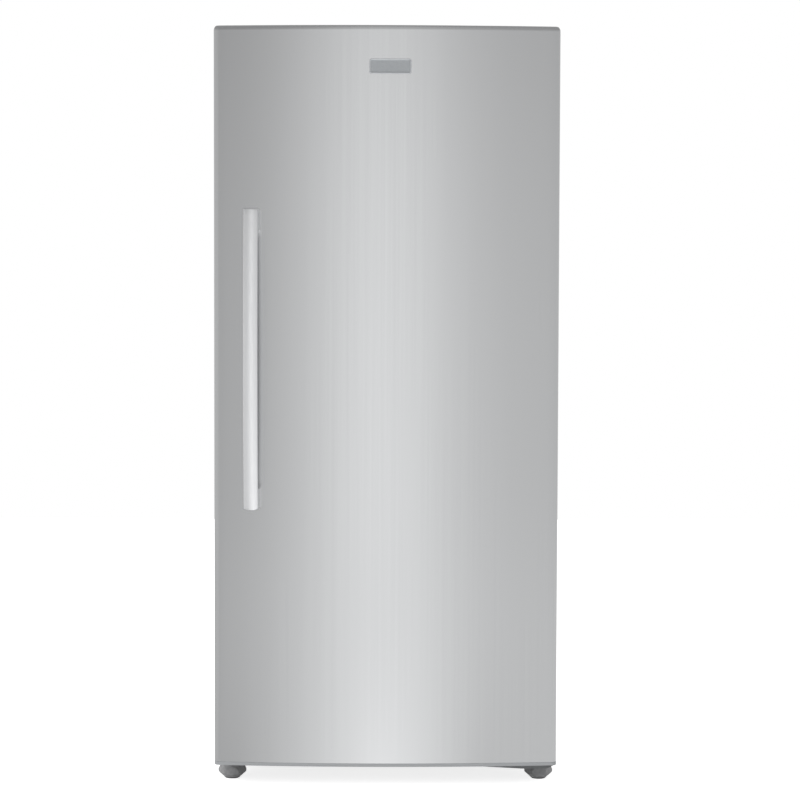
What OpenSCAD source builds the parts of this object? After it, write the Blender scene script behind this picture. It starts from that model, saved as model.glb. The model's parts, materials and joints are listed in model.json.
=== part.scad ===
// Full-height single door refrigerator with a bowed metal door, hinged on its right side.
// +Z is up, the door faces -Y, and the origin lies on the floor under the middle of the whole.

/* [Cabinet] */
// Width across the two side panels
cab_w = 834; // [700:1:900]
// Depth of the cabinet behind the door
cab_d = 598; // [560:1:660]
// Height of the insulated cabinet above its base frame
cab_h = 1741; // [1700:1:1780]
// Thickness of the painted steel sheet
sheet_t = 0.8; // [0.6:0.1:1.5]
// Thickness of the moulded plastic liner
liner_t = 2; // [1:0.1:3]
// Insulated wall at each side, sheet to liner
side_wall = 60; // [50:1:75]
// Insulated wall above the food space
top_wall = 70; // [55:1:85]
// Insulated wall behind the food space
back_wall = 50; // [40:1:65]
// Insulated floor under the food space
floor_wall = 58; // [45:1:70]
// Width of the steel rim that the door seal closes on
rim_w = 25; // [18:1:30]

/* [Base and machine space] */
// Underside of the base frame above the floor
base_z = 58; // [52:1:62]
// Height of the base frame
base_h = 37; // [30:1:45]
// Thickness of the base frame's steel
frame_t = 1.5; // [1.2:0.1:2.5]
// How far the front rail stands behind the cabinet's front face
rail_in = 7.5; // [6.5:0.5:12]
// Depth of the machine space at the back
mach_d = 230; // [215:1:245]
// Height of the machine space above the base frame
mach_h = 200; // [194:1:220]
// Insulation between the machine space and the food space
step_wall = 55; // [40:1:60]
// Top face of the machine tray above the base frame's underside
tray_up = 17; // [14:1:22]
// Width of each cooling slot in the machine cover
louvre_w = 110; // [70:1:150]
// Height of each cooling slot
louvre_h = 6; // [4:0.5:9]
// Slots one above another
louvre_rows = 8; // [4:1:10]

/* [Door] */
// How far the door stands out past each side of the cabinet
door_over = 2; // [1:0.5:3]
// How far the door hangs below the base frame
door_drop = 2; // [1:0.5:4]
// How far the door stands above the cabinet
door_rise = 19; // [18:1:30]
// Thickness of the door at its side edges
door_t = 58; // [50:1:70]
// How far the middle of the face stands ahead of its edges
door_bow = 22; // [10:1:30]
// Radius of the door's upright front corners
corner_r = 14; // [8:1:14]
// Thickness of the door's metal skin
skin_t = 1; // [0.6:0.1:1.5]
// Space between the closed door and the cabinet, filled by the seal
door_gap = 10; // [8:0.5:12]
// Height of the plastic cap that shows under the skin
cap_show = 8; // [5:0.5:12]
// How far the end caps reach inside the skin
cap_in = 12; // [8:1:20]
// Depth of the ridge that stands out behind the door
ridge_h = 45; // [30:1:55]
// Width of that ridge
ridge_w = 32; // [24:1:40]
// Space between the ridge and the liner's walls
ridge_gap = 10; // [8:0.5:14]
// Width of the door seal
seal_w = 22; // [16:1:24]
// Largest opening angle of the door
door_open = 120; // [90:1:120]

/* [Hinge] */
// Pivot to the door's right side
pivot_side = 16; // [14:0.5:18]
// Pivot to the back face of the door
pivot_back = 22; // [20:0.5:25]
// Diameter of the hinge pins
pin_d = 8; // [6:0.5:9]
// Thickness of the hinge brackets
plate_t = 4; // [3:0.5:5]
// Width of the hinge tongues
tongue_w = 20; // [16:0.5:20]
// How deep each pin stands in the door
pin_in = 24; // [18:1:30]
// Radial clearance of a pin in its bush
run_fit = 0.05; // [0.02:0.01:0.1]

/* [Handle and badge] */
// Length of the handle
handle_len = 729; // [500:1:900]
// Lower end of the handle above the door's underside
handle_up = 629; // [550:1:700]
// Width of the handle
handle_w = 35; // [25:1:40]
// Middle of the handle from the door's left side
handle_side = 92; // [80:1:120]
// How far the handle stands ahead of the middle of the door
handle_out = 38; // [30:1:50]
// How much the handle's ends fall back from its middle
handle_arch = 20; // [5:1:26]
// Thickness of the grip
grip_t = 14; // [10:1:16]
// Length of the foot at each end of the handle
post_len = 52; // [40:1:70]
// Diameter of the studs that hold the handle
stud_d = 10; // [6:0.5:12]
// Width of the plain badge
badge_w = 101; // [60:1:120]
// Height of the badge
badge_h = 36; // [20:1:40]
// Thickness of the badge
badge_t = 2.5; // [1.5:0.5:4]
// Middle of the badge below the top of the door
badge_drop = 99; // [70:1:160]
// Middle of the badge to the right of the door's middle
badge_side = 8; // [-100:1:100]

/* [Feet and rollers] */
// Width of a front foot's six-sided wheel, corner to corner
foot_d = 70; // [50:1:70]
// Diameter of a foot where it stands on the floor
sole_d = 34; // [26:1:46]
// Height of a foot's wheel above the floor
foot_h = 38; // [30:1:42]
// Height at which the foot starts to narrow towards the floor
foot_cone = 16; // [8:1:22]
// Diameter of the foot's screw
stem_d = 12; // [8:0.5:16]
// How far a foot screws down
foot_travel = 15; // [5:1:18]
// Middle of a foot from the side of the cabinet
foot_side = 34; // [34:1:60]
// Middle of a foot behind the front rail
foot_back = 42; // [40:1:70]
// Diameter of a rear roller
roller_d = 46; // [36:1:50]
// Width of a rear roller
roller_w = 22; // [16:1:30]
// Diameter of the roller axles
axle_d = 6; // [5:0.5:8]

/* [Shelves and drawers] */
// Lowest shelf above the drawers' cover
shelf_up = 334; // [300:1:350]
// Height from shelf to shelf
shelf_pitch = 290; // [250:1:290]
// Number of glass shelves
shelf_n = 3; // [2:1:3]
// Thickness of a shelf's frame
shelf_t = 12; // [9:0.5:16]
// Thickness of the shelf glass
glass_t = 4; // [3:0.5:5]
// Distance from the cabinet's front to the shelves
shelf_front = 130; // [125:1:160]
// Width of the ledges that carry shelves and drawers
ledge_w = 10; // [8:1:14]
// Space between the liner's step and the crisper drawers
crisper_gap = 8; // [7:0.5:16]
// Height of a crisper drawer
crisper_h = 181; // [140:1:181]
// Depth of a crisper drawer
crisper_d = 380; // [330:1:390]
// Wall of the moulded drawers and bins
mould_t = 2.5; // [2:0.1:3.5]
// How far the humidity sliders travel
slider_travel = 40; // [20:1:60]

/* [Door bins] */
// Depth of a door bin
bin_d = 128; // [90:1:129]
// Height of a door bin
bin_h = 120; // [80:1:150]
// Lowest bin above the floor of the food space
bin_up1 = 60; // [57:1:80]
// Middle bin above the floor of the food space
bin_up2 = 445; // [410:1:480]
// Upper bin above the floor of the food space
bin_up3 = 805; // [760:1:850]
// Dairy bin above the floor of the food space
dairy_up = 1190; // [1130:1:1260]
// Diameter of the dairy lid's pivots
lid_pin_d = 5; // [4:0.5:6]

/* [Cooling] */
// Diameter of the compressor shell
comp_d = 160; // [130:1:170]
// Height of the compressor shell
comp_h = 165; // [130:1:180]
// Diameter of the condenser fan
cfan_d = 150; // [110:1:160]
// Diameter of the evaporator fan
efan_d = 110; // [80:1:120]
// Diameter of the fan shafts
shaft_d = 4; // [3:0.5:6]
// Radius of the refrigerant pipes
pipe_r = 3.5; // [2.5:0.5:4]
// Depth of the evaporator's cover
ecover_d = 50; // [46:1:60]
// Width of the evaporator's cover
ecover_w = 500; // [440:1:560]
// Lower edge of the evaporator's cover above the floor of the food space
ecover_up = 990; // [950:1:1020]

/* [Controls] */
// Width of the control housing
ctrl_w = 300; // [240:1:400]
// Height of the control housing
ctrl_h = 49; // [44:1:60]
// Diameter of the temperature dial
dial_d = 38; // [30:1:42]
// Diameter of the light switch's plunger
plunger_d = 8; // [5:0.5:10]
// How far the plunger springs out
plunger_travel = 6; // [3:0.5:8]

/* [Hidden] */
$fn = 48;

// Overlap that lets one cut pass right through another solid
eps = 1;
// Clearance between a still piece and one that slides or turns beside it
run_gap = 0.3;
// Clearance of a still piece in its seat
seat_gap = 0.02;

// Planes from front to back
door_w = cab_w + 2 * door_over;
total_d = cab_d + door_gap + door_t + door_bow + handle_out;
back_y = total_d / 2;
front_y = back_y - cab_d;
door_back = front_y - door_gap;
door_edge = door_back - door_t;
apex_y = door_edge - door_bow;
grip_front = apex_y - handle_out;
step_y = back_y - mach_d;
shelf_y = front_y + shelf_front;

// Planes from the floor up
foam_z = base_z + base_h;
cab_top = foam_z + cab_h;
mach_top = foam_z + mach_h;
tray_z = base_z + tray_up;
floor_z = foam_z + floor_wall;
ceil_z = cab_top - top_wall;
step_z = mach_top + step_wall;
door_z0 = base_z - door_drop;
door_top = cab_top + door_rise;
skin_z = door_z0 + cap_show;
cap_plate = 8;
lip = 1;

// Half widths, and the liner's faces
cab_x = cab_w / 2;
hole_x = cab_x - side_wall;
in_x = hole_x - liner_t;
in_back = back_y - back_wall - liner_t;
in_step = step_y - step_wall - liner_t;
in_floor = floor_z + liner_t;
in_ceil = ceil_z - liner_t;

// The door's face: one large arc, with a small arc at each upright corner
bow_r = (pow(door_w / 2, 2) + pow(door_bow, 2)) / (2 * door_bow);
bow_c = apex_y + bow_r;
corner_x = door_w / 2 - corner_r;
corner_y = bow_c - sqrt(pow(bow_r - corner_r, 2) - pow(corner_x, 2));
bow_end = asin(corner_x / (bow_r - corner_r));
bow_n = 24;
corner_n = 6;
function face_y(x) = bow_c - sqrt(pow(bow_r, 2) - pow(x, 2));

// Hinge
pivot_x = door_w / 2 - pivot_side;
pivot_y = door_back - pivot_back;
tongue_z = cab_top;
notch_z = tongue_z - 2;
notch_left = pivot_x - tongue_w / 2 - 4;
tongue_side = tongue_w / 2 / cos(90 - door_open) - pivot_side * tan(90 - door_open);
notch_front = pivot_y - tongue_side - 0.7;
boss_wall = 6;
low_plate_z = door_z0 - 2 - plate_t;
bush_r = pin_d / 2 + 3;
bush_flange = 1.5;
screw_d = 6;
top_plate_w = 84;
top_plate_d = 80;
top_plate_y = front_y + 10;
cover_h = 13;
low_plate_w = 230;
low_lip = 8;
low_lip_t = 3;

// Door liner, seal and bins
ridge_x = in_x - ridge_gap;
ridge_z0 = in_floor + ridge_gap;
ridge_z1 = in_ceil - ridge_gap;
seal_x = pivot_x - 2;
seal_z0 = foam_z + 10;
seal_z1 = cab_top - 19;
bin_x = ridge_x - ridge_w - 4;
bin_zs = [in_floor + bin_up1, in_floor + bin_up2, in_floor + bin_up3];
dairy_z = in_floor + dairy_up;
lug = [16, 40, 14];
bin_r = 22;

// Handle
grip_n = 24;
handle_off = door_w / 2 - handle_side;
handle_z0 = door_z0 + handle_up;
handle_face = face_y(handle_off);
grip_reach = handle_face - grip_front;
function grip_at(t) = grip_reach - handle_arch * t * t;
stud_zs = [handle_z0 + post_len / 2, handle_z0 + handle_len - post_len / 2];
stud_in = 12;
stud_out = 18;

// Feet and rollers
foot_x = cab_x - foot_side;
rail_y = front_y + rail_in;
foot_y = rail_y + foot_back;
stem_top = foam_z - frame_t - 1;
stem_hold = 7.5;
boss_z = stem_top - foot_travel - stem_hold;
boss_r = stem_d / 2 + 5;
roller_x = cab_x - 45;
roller_y = back_y - 60;
fork_t = 2;
fork_in = roller_w / 2 + 1;

// Shelves and drawers
ledge_h = 8;
shelf_back = in_back - ecover_d - 2;
shelf_half = in_x - 2;
shelf_rim = 16;
crisper_y = front_y + 140;
crisper_z = step_z + liner_t + crisper_gap;
crisper_out = in_x - 10;
crisper_in = 6;
crisper_rail = 20;
tee_z = crisper_z - run_gap;
tee_t = 4;
tee_w = 32;
web_t = 4;
cover_z = crisper_z + crisper_h + 10;
shelf_z = cover_z + shelf_up;
cover_t = 6;
fascia_t = 4;
fascia_h = 30;
slot_h = 6;
slot_z = cover_z + cover_t + 9;
slider_x = 190;
knob = [24, 7, 14];
pull = [120, 12, 6];

// Machine space
comp_x = 230;
comp_y = step_y + 112;
mount_h = 16;
mount_x = 88;
mount_y = 55;
foot_plate_t = 3;
comp_z = tray_z + mount_h + foot_plate_t;
cond_x = -140;
cond_half = 75;
cond_y0 = step_y + 27;
cond_y1 = back_y - 23;
cond_z = tray_z + 30;
cond_top = mach_top - 25;
cfan_x = 10;
cfan_z = tray_z + 105;
pan_t = 2;
drier_x = -300;
drier_y = comp_y;
drier_r = 10;
drier_z0 = tray_z + 60;
drier_z1 = tray_z + 150;
pipe_x = 150;
groove = 3 * pipe_r;
inlet_x = -330;
inlet_z = tray_z + 60;
inlet_r = 8;
inlet_bore = 4.5;
relay_w = 50;
louvre_up = 70;
motor_r = 20;
motor_l = 32;

// Cold side
ecover_z = in_floor + ecover_up;
evap_half = 200;
evap_in = 60;
evap_h = 220;
efan_up = 410;
evap_z0 = ecover_z + evap_in;
evap_z1 = evap_z0 + evap_h;
evap_y = in_back - 20;
evap_drop = 30;
tube_out = 8;
efan_z = ecover_z + efan_up;
efan_y = in_back - 38;
ecover_top = in_ceil - ctrl_h - 20;
ecover_t = 2.5;
lamp_h = 8;
lamp_x = -20;
lamp_w = 200;
lamp_d = 120;
lamp_wall = 2;
ctrl_y0 = front_y + 60;
ctrl_d = 235;
ctrl_y1 = ctrl_y0 + ctrl_d;
ctrl_z = in_ceil - ctrl_h;
dial_x = 95;
dial_h = 12;
switch_x = -200;
switch_z = (in_ceil + seal_z1 - seal_w) / 2 + 1;
switch_w = 18;
switch_l = 34;
switch_lip = 4;
switch_wall = 2.5;
collar_t = 3;

// Outline of the door in plan, set in by t and closed at the plane yb
function door_outline(t, yb) = let (r = corner_r - t, big = bow_r - t, x = door_w / 2 - t) concat(
    [[-x, yb]],
    [for (i = [0 : corner_n]) let (a = i / corner_n * (90 - bow_end))
        [-corner_x - r * cos(a), corner_y - r * sin(a)]],
    [for (i = [1 : bow_n - 1]) let (a = -bow_end + 2 * bow_end * i / bow_n)
        [big * sin(a), bow_c - big * cos(a)]],
    [for (i = [corner_n : -1 : 0]) let (a = i / corner_n * (90 - bow_end))
        [corner_x + r * cos(a), corner_y - r * sin(a)]],
    [[x, yb]]);

// Rectangle with round corners, centred, its arcs made of n chords each
function round_rect(w, h, r, n = 5) = [for (q = [0 : 3], i = [0 : n])
    let (a = 90 * q + 90 * i / n, sx = (q == 0 || q == 3) ? 1 : -1, sy = q < 2 ? 1 : -1)
    [sx * (w / 2 - r) + r * cos(a), sy * (h / 2 - r) + r * sin(a)]];

module block(x0, x1, y0, y1, z0, z1) {
    translate([x0, y0, z0]) cube([x1 - x0, y1 - y0, z1 - z0]);
}

// Flat shape drawn in X and Z, standing from y0 back to y1
module upright(y0, y1) {
    translate([0, y1, 0]) rotate([90, 0, 0]) linear_extrude(y1 - y0) children();
}

// Flat shape drawn in Y and Z, as wide as w, about the middle
module across(w) {
    translate([-w / 2, 0, 0]) rotate([90, 0, 90]) linear_extrude(w) children();
}

module rod_x(x0, x1, r) { translate([x0, 0, 0]) rotate([0, 90, 0]) cylinder(h = x1 - x0, r = r); }
module rod_y(y0, y1, r) { translate([0, y1, 0]) rotate([90, 0, 0]) cylinder(h = y1 - y0, r = r); }

module rod(a, b, r) {
    d = b - a;
    translate(a) rotate([0, acos(d[2] / norm(d)), atan2(d[1], d[0])]) cylinder(h = norm(d), r = r);
}

// Pipe along straight runs, with a slightly swollen joint at each bend
module pipe(points, r) {
    for (i = [0 : len(points) - 2]) rod(points[i], points[i + 1], r);
    for (i = [1 : len(points) - 2]) translate(points[i]) sphere(r = r + 0.4);
}

module door_plan(t, yb) { polygon(door_outline(t, yb)); }

// Room in the door's top for the hinge tongue, over the whole swing
module hinge_notch() {
    block(notch_left, door_w / 2 + eps, notch_front, door_back + ridge_h, notch_z, door_top + eps);
}

module stud_holes(r) {
    for (z = stud_zs) translate([-handle_off, 0, z])
        rod_y(handle_face - stud_out, handle_face + stud_in + seat_gap, r);
}

// The food space's side profile, set in by t, its front at yf
module room_profile(t, yf) {
    polygon([[yf, floor_z + t], [step_y - step_wall - t, floor_z + t],
        [step_y - step_wall - t, step_z + t], [back_y - back_wall - t, step_z + t],
        [back_y - back_wall - t, ceil_z - t], [yf, ceil_z - t]]);
}

// Ring that stands out behind the door, set in by t
module ridge_ring(t, y0, y1) {
    upright(y0, y1) difference() {
        translate([-ridge_x + t, ridge_z0 + t]) square([2 * (ridge_x - t), ridge_z1 - ridge_z0 - 2 * t]);
        translate([-ridge_x + ridge_w - t, ridge_z0 + ridge_w - t])
            square([2 * (ridge_x - ridge_w + t), ridge_z1 - ridge_z0 - 2 * (ridge_w - t)]);
    }
}

// Open tray with rounded upright corners, from x0 to x1 and y0 to y1
module tray(x0, x1, y0, y1, z0, h, wall, r) {
    w = x1 - x0;
    d = y1 - y0;
    translate([(x0 + x1) / 2, (y0 + y1) / 2, z0]) difference() {
        linear_extrude(h) polygon(round_rect(w, d, r));
        translate([0, 0, wall]) linear_extrude(h) polygon(round_rect(w - 2 * wall, d - 2 * wall, r - wall));
    }
}

// Block of flat fins on straight tubes, tubes along X, one end plate at each side
module finned_coil(half, y0, y1, z0, z1, rows, cols, fins, drop) {
    for (i = [0 : fins - 1]) let (x = -half + 12 + i * (2 * half - 24) / (fins - 1))
        block(x - 0.4, x + 0.4, y0, y1, z0, z1);
    for (s = [-1, 1]) block(min(s * half, s * (half + 2)), max(s * half, s * (half + 2)),
        y0, y1, z0 - drop, z1);
    for (i = [0 : rows - 1], j = [0 : cols - 1])
        translate([0, y0 + (j + 0.5) * (y1 - y0) / cols, z0 + (i + 0.5) * (z1 - z0) / rows])
            rod_x(-half - tube_out, half + tube_out, pipe_r + 1);
}

// Fan on the Z axis: a hub with its bore, and flat blades set at a pitch
module fan(d, hub_d, h, n, bore_r) {
    difference() {
        union() {
            cylinder(h = h, d = hub_d);
            for (i = [0 : n - 1]) rotate([0, 0, i * 360 / n])
                translate([hub_d / 2 - 2, 0, h / 2]) rotate([32, 0, 0])
                    translate([0, -d * 0.15, -0.8]) cube([d / 2 - hub_d / 2, d * 0.3, 1.6]);
        }
        translate([0, 0, -eps]) cylinder(h = h + 2 * eps, r = bore_r);
    }
}

module side_panel(s) {
    mirror([s < 0 ? 1 : 0, 0, 0]) color("gainsboro") {
        block(cab_x - sheet_t, cab_x, front_y, back_y, base_z, cab_top);
        block(cab_x - rim_w, cab_x, front_y, front_y + sheet_t, foam_z, cab_top - sheet_t);
    }
}
module side_panel_left() { side_panel(-1); }
module side_panel_right() { side_panel(1); }

module top_panel() {
    color("gainsboro") difference() {
        union() {
            block(sheet_t - cab_x, cab_x - sheet_t, front_y, back_y, cab_top - sheet_t, cab_top);
            block(rim_w - cab_x, cab_x - rim_w, front_y, front_y + sheet_t, cab_top - rim_w, cab_top);
        }
        top_screw_holes();
    }
}

module back_panel() {
    color("silver") block(sheet_t - cab_x, cab_x - sheet_t, back_y - sheet_t, back_y,
        mach_top, cab_top - sheet_t);
}

module cabinet_foam() {
    foam_x = cab_x - sheet_t;
    color("khaki") difference() {
        across(2 * foam_x) polygon([[front_y + liner_t, foam_z], [step_y, foam_z], [step_y, mach_top],
            [back_y - sheet_t, mach_top], [back_y - sheet_t, cab_top - sheet_t],
            [front_y + liner_t, cab_top - sheet_t]]);
        across(2 * hole_x) room_profile(0, front_y - eps);
        switch_pocket(0);
        top_screw_holes();
        pipe_groove();
    }
}

// Upright groove in the back of the insulation, and the hole from it to the evaporator
module pipe_groove() {
    block(pipe_x - groove / 2, pipe_x + groove / 2, back_y - sheet_t - groove, back_y,
        mach_top - eps, evap_z0 + groove);
    translate([pipe_x, 0, evap_z0 + groove / 2])
        rod_y(in_back - eps, back_y - sheet_t - groove / 2, groove / 2 - 1);
}

module cabinet_liner() {
    color("white") difference() {
        union() {
            difference() {
                union() {
                    across(2 * hole_x) room_profile(0, front_y);
                    block(rim_w - cab_x, cab_x - rim_w, front_y, front_y + liner_t,
                        foam_z, cab_top - rim_w);
                }
                across(2 * in_x) room_profile(liner_t, front_y - eps);
            }
            for (s = [-1, 1]) {
                for (i = [0 : shelf_n - 1])
                    ledge(s, ledge_w, shelf_y, shelf_back, shelf_z + i * shelf_pitch);
                ledge(s, ledge_w, crisper_y, crisper_y + crisper_d, cover_z);
                ledge(s, crisper_rail, crisper_y + 5, crisper_y + crisper_d, tee_z);
            }
        }
        switch_pocket(seat_gap);
        pipe_groove();
    }
}

// Rib on the side wall s, as wide as w, its top face at z
module ledge(s, w, y0, y1, z) {
    mirror([s < 0 ? 1 : 0, 0, 0]) block(in_x - w, in_x + liner_t / 2, y0, y1, z - ledge_h, z);
}

module switch_pocket(gap) {
    translate([switch_x, 0, switch_z]) block(-switch_w / 2 - gap, switch_w / 2 + gap,
        front_y - eps, front_y + switch_l + gap, -switch_w / 2 - gap, switch_w / 2 + gap);
}

module base_frame() {
    fx = cab_x - sheet_t;
    color("dimgray") difference() {
        union() {
            block(-fx, fx, rail_y, step_y, foam_z - frame_t, foam_z);
            block(-fx, fx, rail_y, rail_y + frame_t, base_z, foam_z);
            for (s = [0, 1]) mirror([s, 0, 0]) {
                block(fx - frame_t, fx, rail_y, back_y - frame_t, base_z, foam_z);
                translate([foot_x, foot_y, boss_z]) cylinder(h = foam_z - boss_z, r = boss_r);
                for (k = [-1, 1]) roller_fork(k);
            }
            block(-fx, fx, step_y - frame_t, back_y - 2 * frame_t, tray_z - frame_t, tray_z);
            block(-fx, fx, step_y - frame_t, step_y, tray_z - frame_t, foam_z);
            block(-fx, fx, back_y - 2 * frame_t, back_y - frame_t, base_z, tray_z);
        }
        for (s = [-1, 1]) translate([s * foot_x, foot_y, boss_z - eps])
            cylinder(h = foam_z - boss_z - frame_t + eps, r = stem_d / 2 + run_fit);
        roller_bore();
        low_screw_holes();
    }
}

// One cheek of a roller's fork, on the side k of the roller
module roller_fork(k) {
    x = roller_x + k * fork_in;
    block(min(x, x + k * fork_t), max(x, x + k * fork_t), roller_y - 16, roller_y + 16,
        roller_d / 2 - 8, tray_z - frame_t / 2);
}

module roller_bore() {
    for (s = [0, 1]) mirror([s, 0, 0]) translate([0, roller_y, roller_d / 2])
        rod_x(roller_x - fork_in - fork_t - eps, roller_x + fork_in + fork_t + eps, axle_d / 2 + seat_gap);
}

module roller_axles() {
    color("silver") for (s = [0, 1]) mirror([s, 0, 0]) translate([0, roller_y, roller_d / 2]) {
        rod_x(roller_x - fork_in - fork_t - 2, roller_x + fork_in + fork_t + 2, axle_d / 2);
        for (k = [-1, 1]) let (x = roller_x + k * (fork_in + fork_t + 1))
            rod_x(x - 1, x + 1, axle_d / 2 + 1.5);
    }
}

module rear_roller(s) {
    color("gray") translate([s * roller_x, roller_y, roller_d / 2]) difference() {
        rod_x(-roller_w / 2, roller_w / 2, roller_d / 2);
        rod_x(-roller_w / 2 - eps, roller_w / 2 + eps, axle_d / 2 + run_fit);
    }
}
module rear_roller_left() { rear_roller(-1); }
module rear_roller_right() { rear_roller(1); }

// Levelling foot: a six-sided wheel that narrows to a round sole, on its screw
module front_foot(s) {
    r = foot_d / 2;
    color("dimgray") translate([s * foot_x, foot_y, 0]) {
        intersection() {
            cylinder(h = foot_h, r = r, $fn = 6);
            rotate_extrude() polygon([[0, 0], [sole_d / 2, 0], [r, foot_cone], [r, foot_cone + 6],
                [r - 8, foot_h], [0, foot_h]]);
        }
        cylinder(h = stem_top, d = stem_d);
    }
}
module front_foot_left() { front_foot(-1); }
module front_foot_right() { front_foot(1); }

module machine_cover() {
    rows_z = tray_z + louvre_up;
    color("gray") difference() {
        block(sheet_t - cab_x, cab_x - sheet_t, back_y - frame_t, back_y, base_z + 5, mach_top);
        for (c = [-1 : 1], i = [0 : louvre_rows - 1])
            translate([c * 210 - louvre_w / 2, 0, rows_z + i * 2 * louvre_h])
                block(0, louvre_w, back_y - 2 * frame_t, back_y + eps, 0, louvre_h);
        translate([inlet_x, 0, inlet_z]) rod_y(back_y - 2 * frame_t, back_y + eps, inlet_r + seat_gap);
    }
}

// Cord gland of the back cover, with its bore
module power_inlet() {
    color("black") translate([inlet_x, 0, inlet_z]) difference() {
        union() {
            rod_y(back_y - frame_t - 10, back_y, inlet_r);
            rod_y(back_y - frame_t - 4, back_y - frame_t, inlet_r + 4);
        }
        rod_y(back_y - frame_t - 10 - eps, back_y + eps, inlet_bore);
    }
}

module compressor() {
    r = comp_d / 2;
    color([0.12, 0.12, 0.13]) {
        translate([comp_x, comp_y, comp_z]) rotate_extrude() polygon([[0, 0], [r - 22, 0], [r - 6, 10],
            [r, 26], [r, comp_h * 0.45], [r + 3, comp_h * 0.45], [r + 3, comp_h * 0.5], [r, comp_h * 0.5],
            [r, comp_h - 46], [r - 8, comp_h - 24], [r - 26, comp_h - 8], [r - 50, comp_h], [0, comp_h]]);
        difference() {
            translate([comp_x, comp_y, comp_z - foot_plate_t]) linear_extrude(foot_plate_t)
                polygon(round_rect(2 * mount_x + 30, 2 * mount_y + 30, 12));
            mount_places() cylinder(h = mount_h + 4 * foot_plate_t, r = 5);
        }
    }
}

module mount_places() {
    for (i = [-1, 1], j = [-1, 1]) translate([comp_x + i * mount_x, comp_y + j * mount_y, tray_z])
        children();
}

module compressor_mounts() {
    color([0.2, 0.2, 0.2]) mount_places() {
        cylinder(h = mount_h, r = 11);
        cylinder(h = mount_h + foot_plate_t + 4, r = 5 - seat_gap);
        translate([0, 0, mount_h + foot_plate_t]) cylinder(h = 4, r = 8);
    }
}

module start_relay_cover() {
    color([0.1, 0.1, 0.1]) difference() {
        translate([comp_x - comp_d / 2 - 24, comp_y, comp_z + 40])
            block(0, 60, -relay_w / 2, relay_w / 2, 0, 62);
        translate([comp_x, comp_y, comp_z]) cylinder(h = comp_h, r = comp_d / 2 + 3);
    }
}

module condenser() {
    cy = (cond_y0 + cond_y1) / 2;
    half = (cond_y1 - cond_y0) / 2;
    color("black") translate([cond_x, cy, 0]) rotate([0, 0, 90])
        finned_coil(half, -cond_half, cond_half, cond_z, cond_top, 4, 3, 10, cond_z - tray_z);
}

module drain_pan() {
    color("dimgray") tray(cond_x - cond_half + 4, cond_x + cond_half - 4, cond_y0 + 4, cond_y1 - 4,
        tray_z, 24, pan_t, 8);
}

// Fan motor on an upright strap that stands on the tray
module condenser_fan_motor() {
    color("silver") translate([cfan_x, comp_y, 0]) {
        translate([0, 0, cfan_z]) {
            rod_x(12, 12 + motor_l, motor_r);
            rod_x(-8, 14, shaft_d / 2);
        }
        block(12 + motor_l, 14 + motor_l, -motor_r - 2, motor_r + 2, tray_z, cfan_z + motor_r + 6);
        block(motor_r, 14 + motor_l, -motor_r - 2, motor_r + 2, tray_z, tray_z + 2);
    }
}
module condenser_fan_blade() {
    color("dimgray") translate([cfan_x - 8, comp_y, cfan_z]) rotate([0, 90, 0])
        fan(cfan_d, 34, 16, 5, shaft_d / 2 + run_fit);
}

module filter_drier() {
    color("peru") translate([drier_x, drier_y, 0]) rotate_extrude() polygon([[0, drier_z0],
        [5, drier_z0], [drier_r, drier_z0 + 10], [drier_r, drier_z1 - 10], [5, drier_z1], [0, drier_z1]]);
}

// Discharge pipe, the pipe through the drier, and the suction pipe up the back
module refrigerant_lines() {
    shell_r = comp_d / 2 - 2;
    port_z = comp_z + 30;
    high = cond_top + 10;
    back = back_y - sheet_t - groove / 2;
    up_y = evap_z0 + groove / 2;
    evap_row = evap_z0 + evap_drop + (evap_z1 - evap_z0 - evap_drop) / 8;
    low_tube = cond_z + (cond_top - cond_z) / 8;
    high_tube = cond_top - (cond_top - cond_z) / 8;
    left_tube = cond_x - cond_half * 2 / 3;
    color("peru") difference() {
        union() {
            pipe([[comp_x, comp_y - shell_r, port_z], [comp_x, step_y + 12, port_z],
                [comp_x, step_y + 12, high], [cond_x, step_y + 12, high],
                [cond_x, step_y + 12, high_tube], [cond_x, cond_y0 - tube_out, high_tube]], pipe_r);
            pipe([[left_tube, cond_y1 + tube_out, low_tube], [left_tube, cond_y1 + 14, low_tube],
                [drier_x, cond_y1 + 14, low_tube], [drier_x, drier_y, low_tube],
                [drier_x, drier_y, drier_z0]], pipe_r);
            pipe([[drier_x, drier_y, drier_z1], [drier_x, drier_y, high + 8],
                [pipe_x - 14, drier_y, high + 8]], pipe_r / 2);
            pipe([[comp_x - 30, comp_y + shell_r - 6, port_z + 60], [comp_x - 30, back - 12, port_z + 60],
                [pipe_x, back - 12, port_z + 60], [pipe_x, back - 12, mach_top - 8],
                [pipe_x, back, mach_top], [pipe_x, back, up_y], [pipe_x, evap_y, up_y],
                [evap_half + 2 * tube_out, evap_y, up_y], [evap_half + 2 * tube_out, evap_y, evap_row],
                [evap_half + tube_out, evap_y, evap_row]], pipe_r);
        }
        translate([comp_x, comp_y, comp_z]) cylinder(h = comp_h, r = comp_d / 2);
    }
}

module evaporator() {
    color("lightgray") finned_coil(evap_half, 2 * evap_y - in_back, in_back, evap_z0 + evap_drop, evap_z1,
        4, 1, 14, 0);
}

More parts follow.
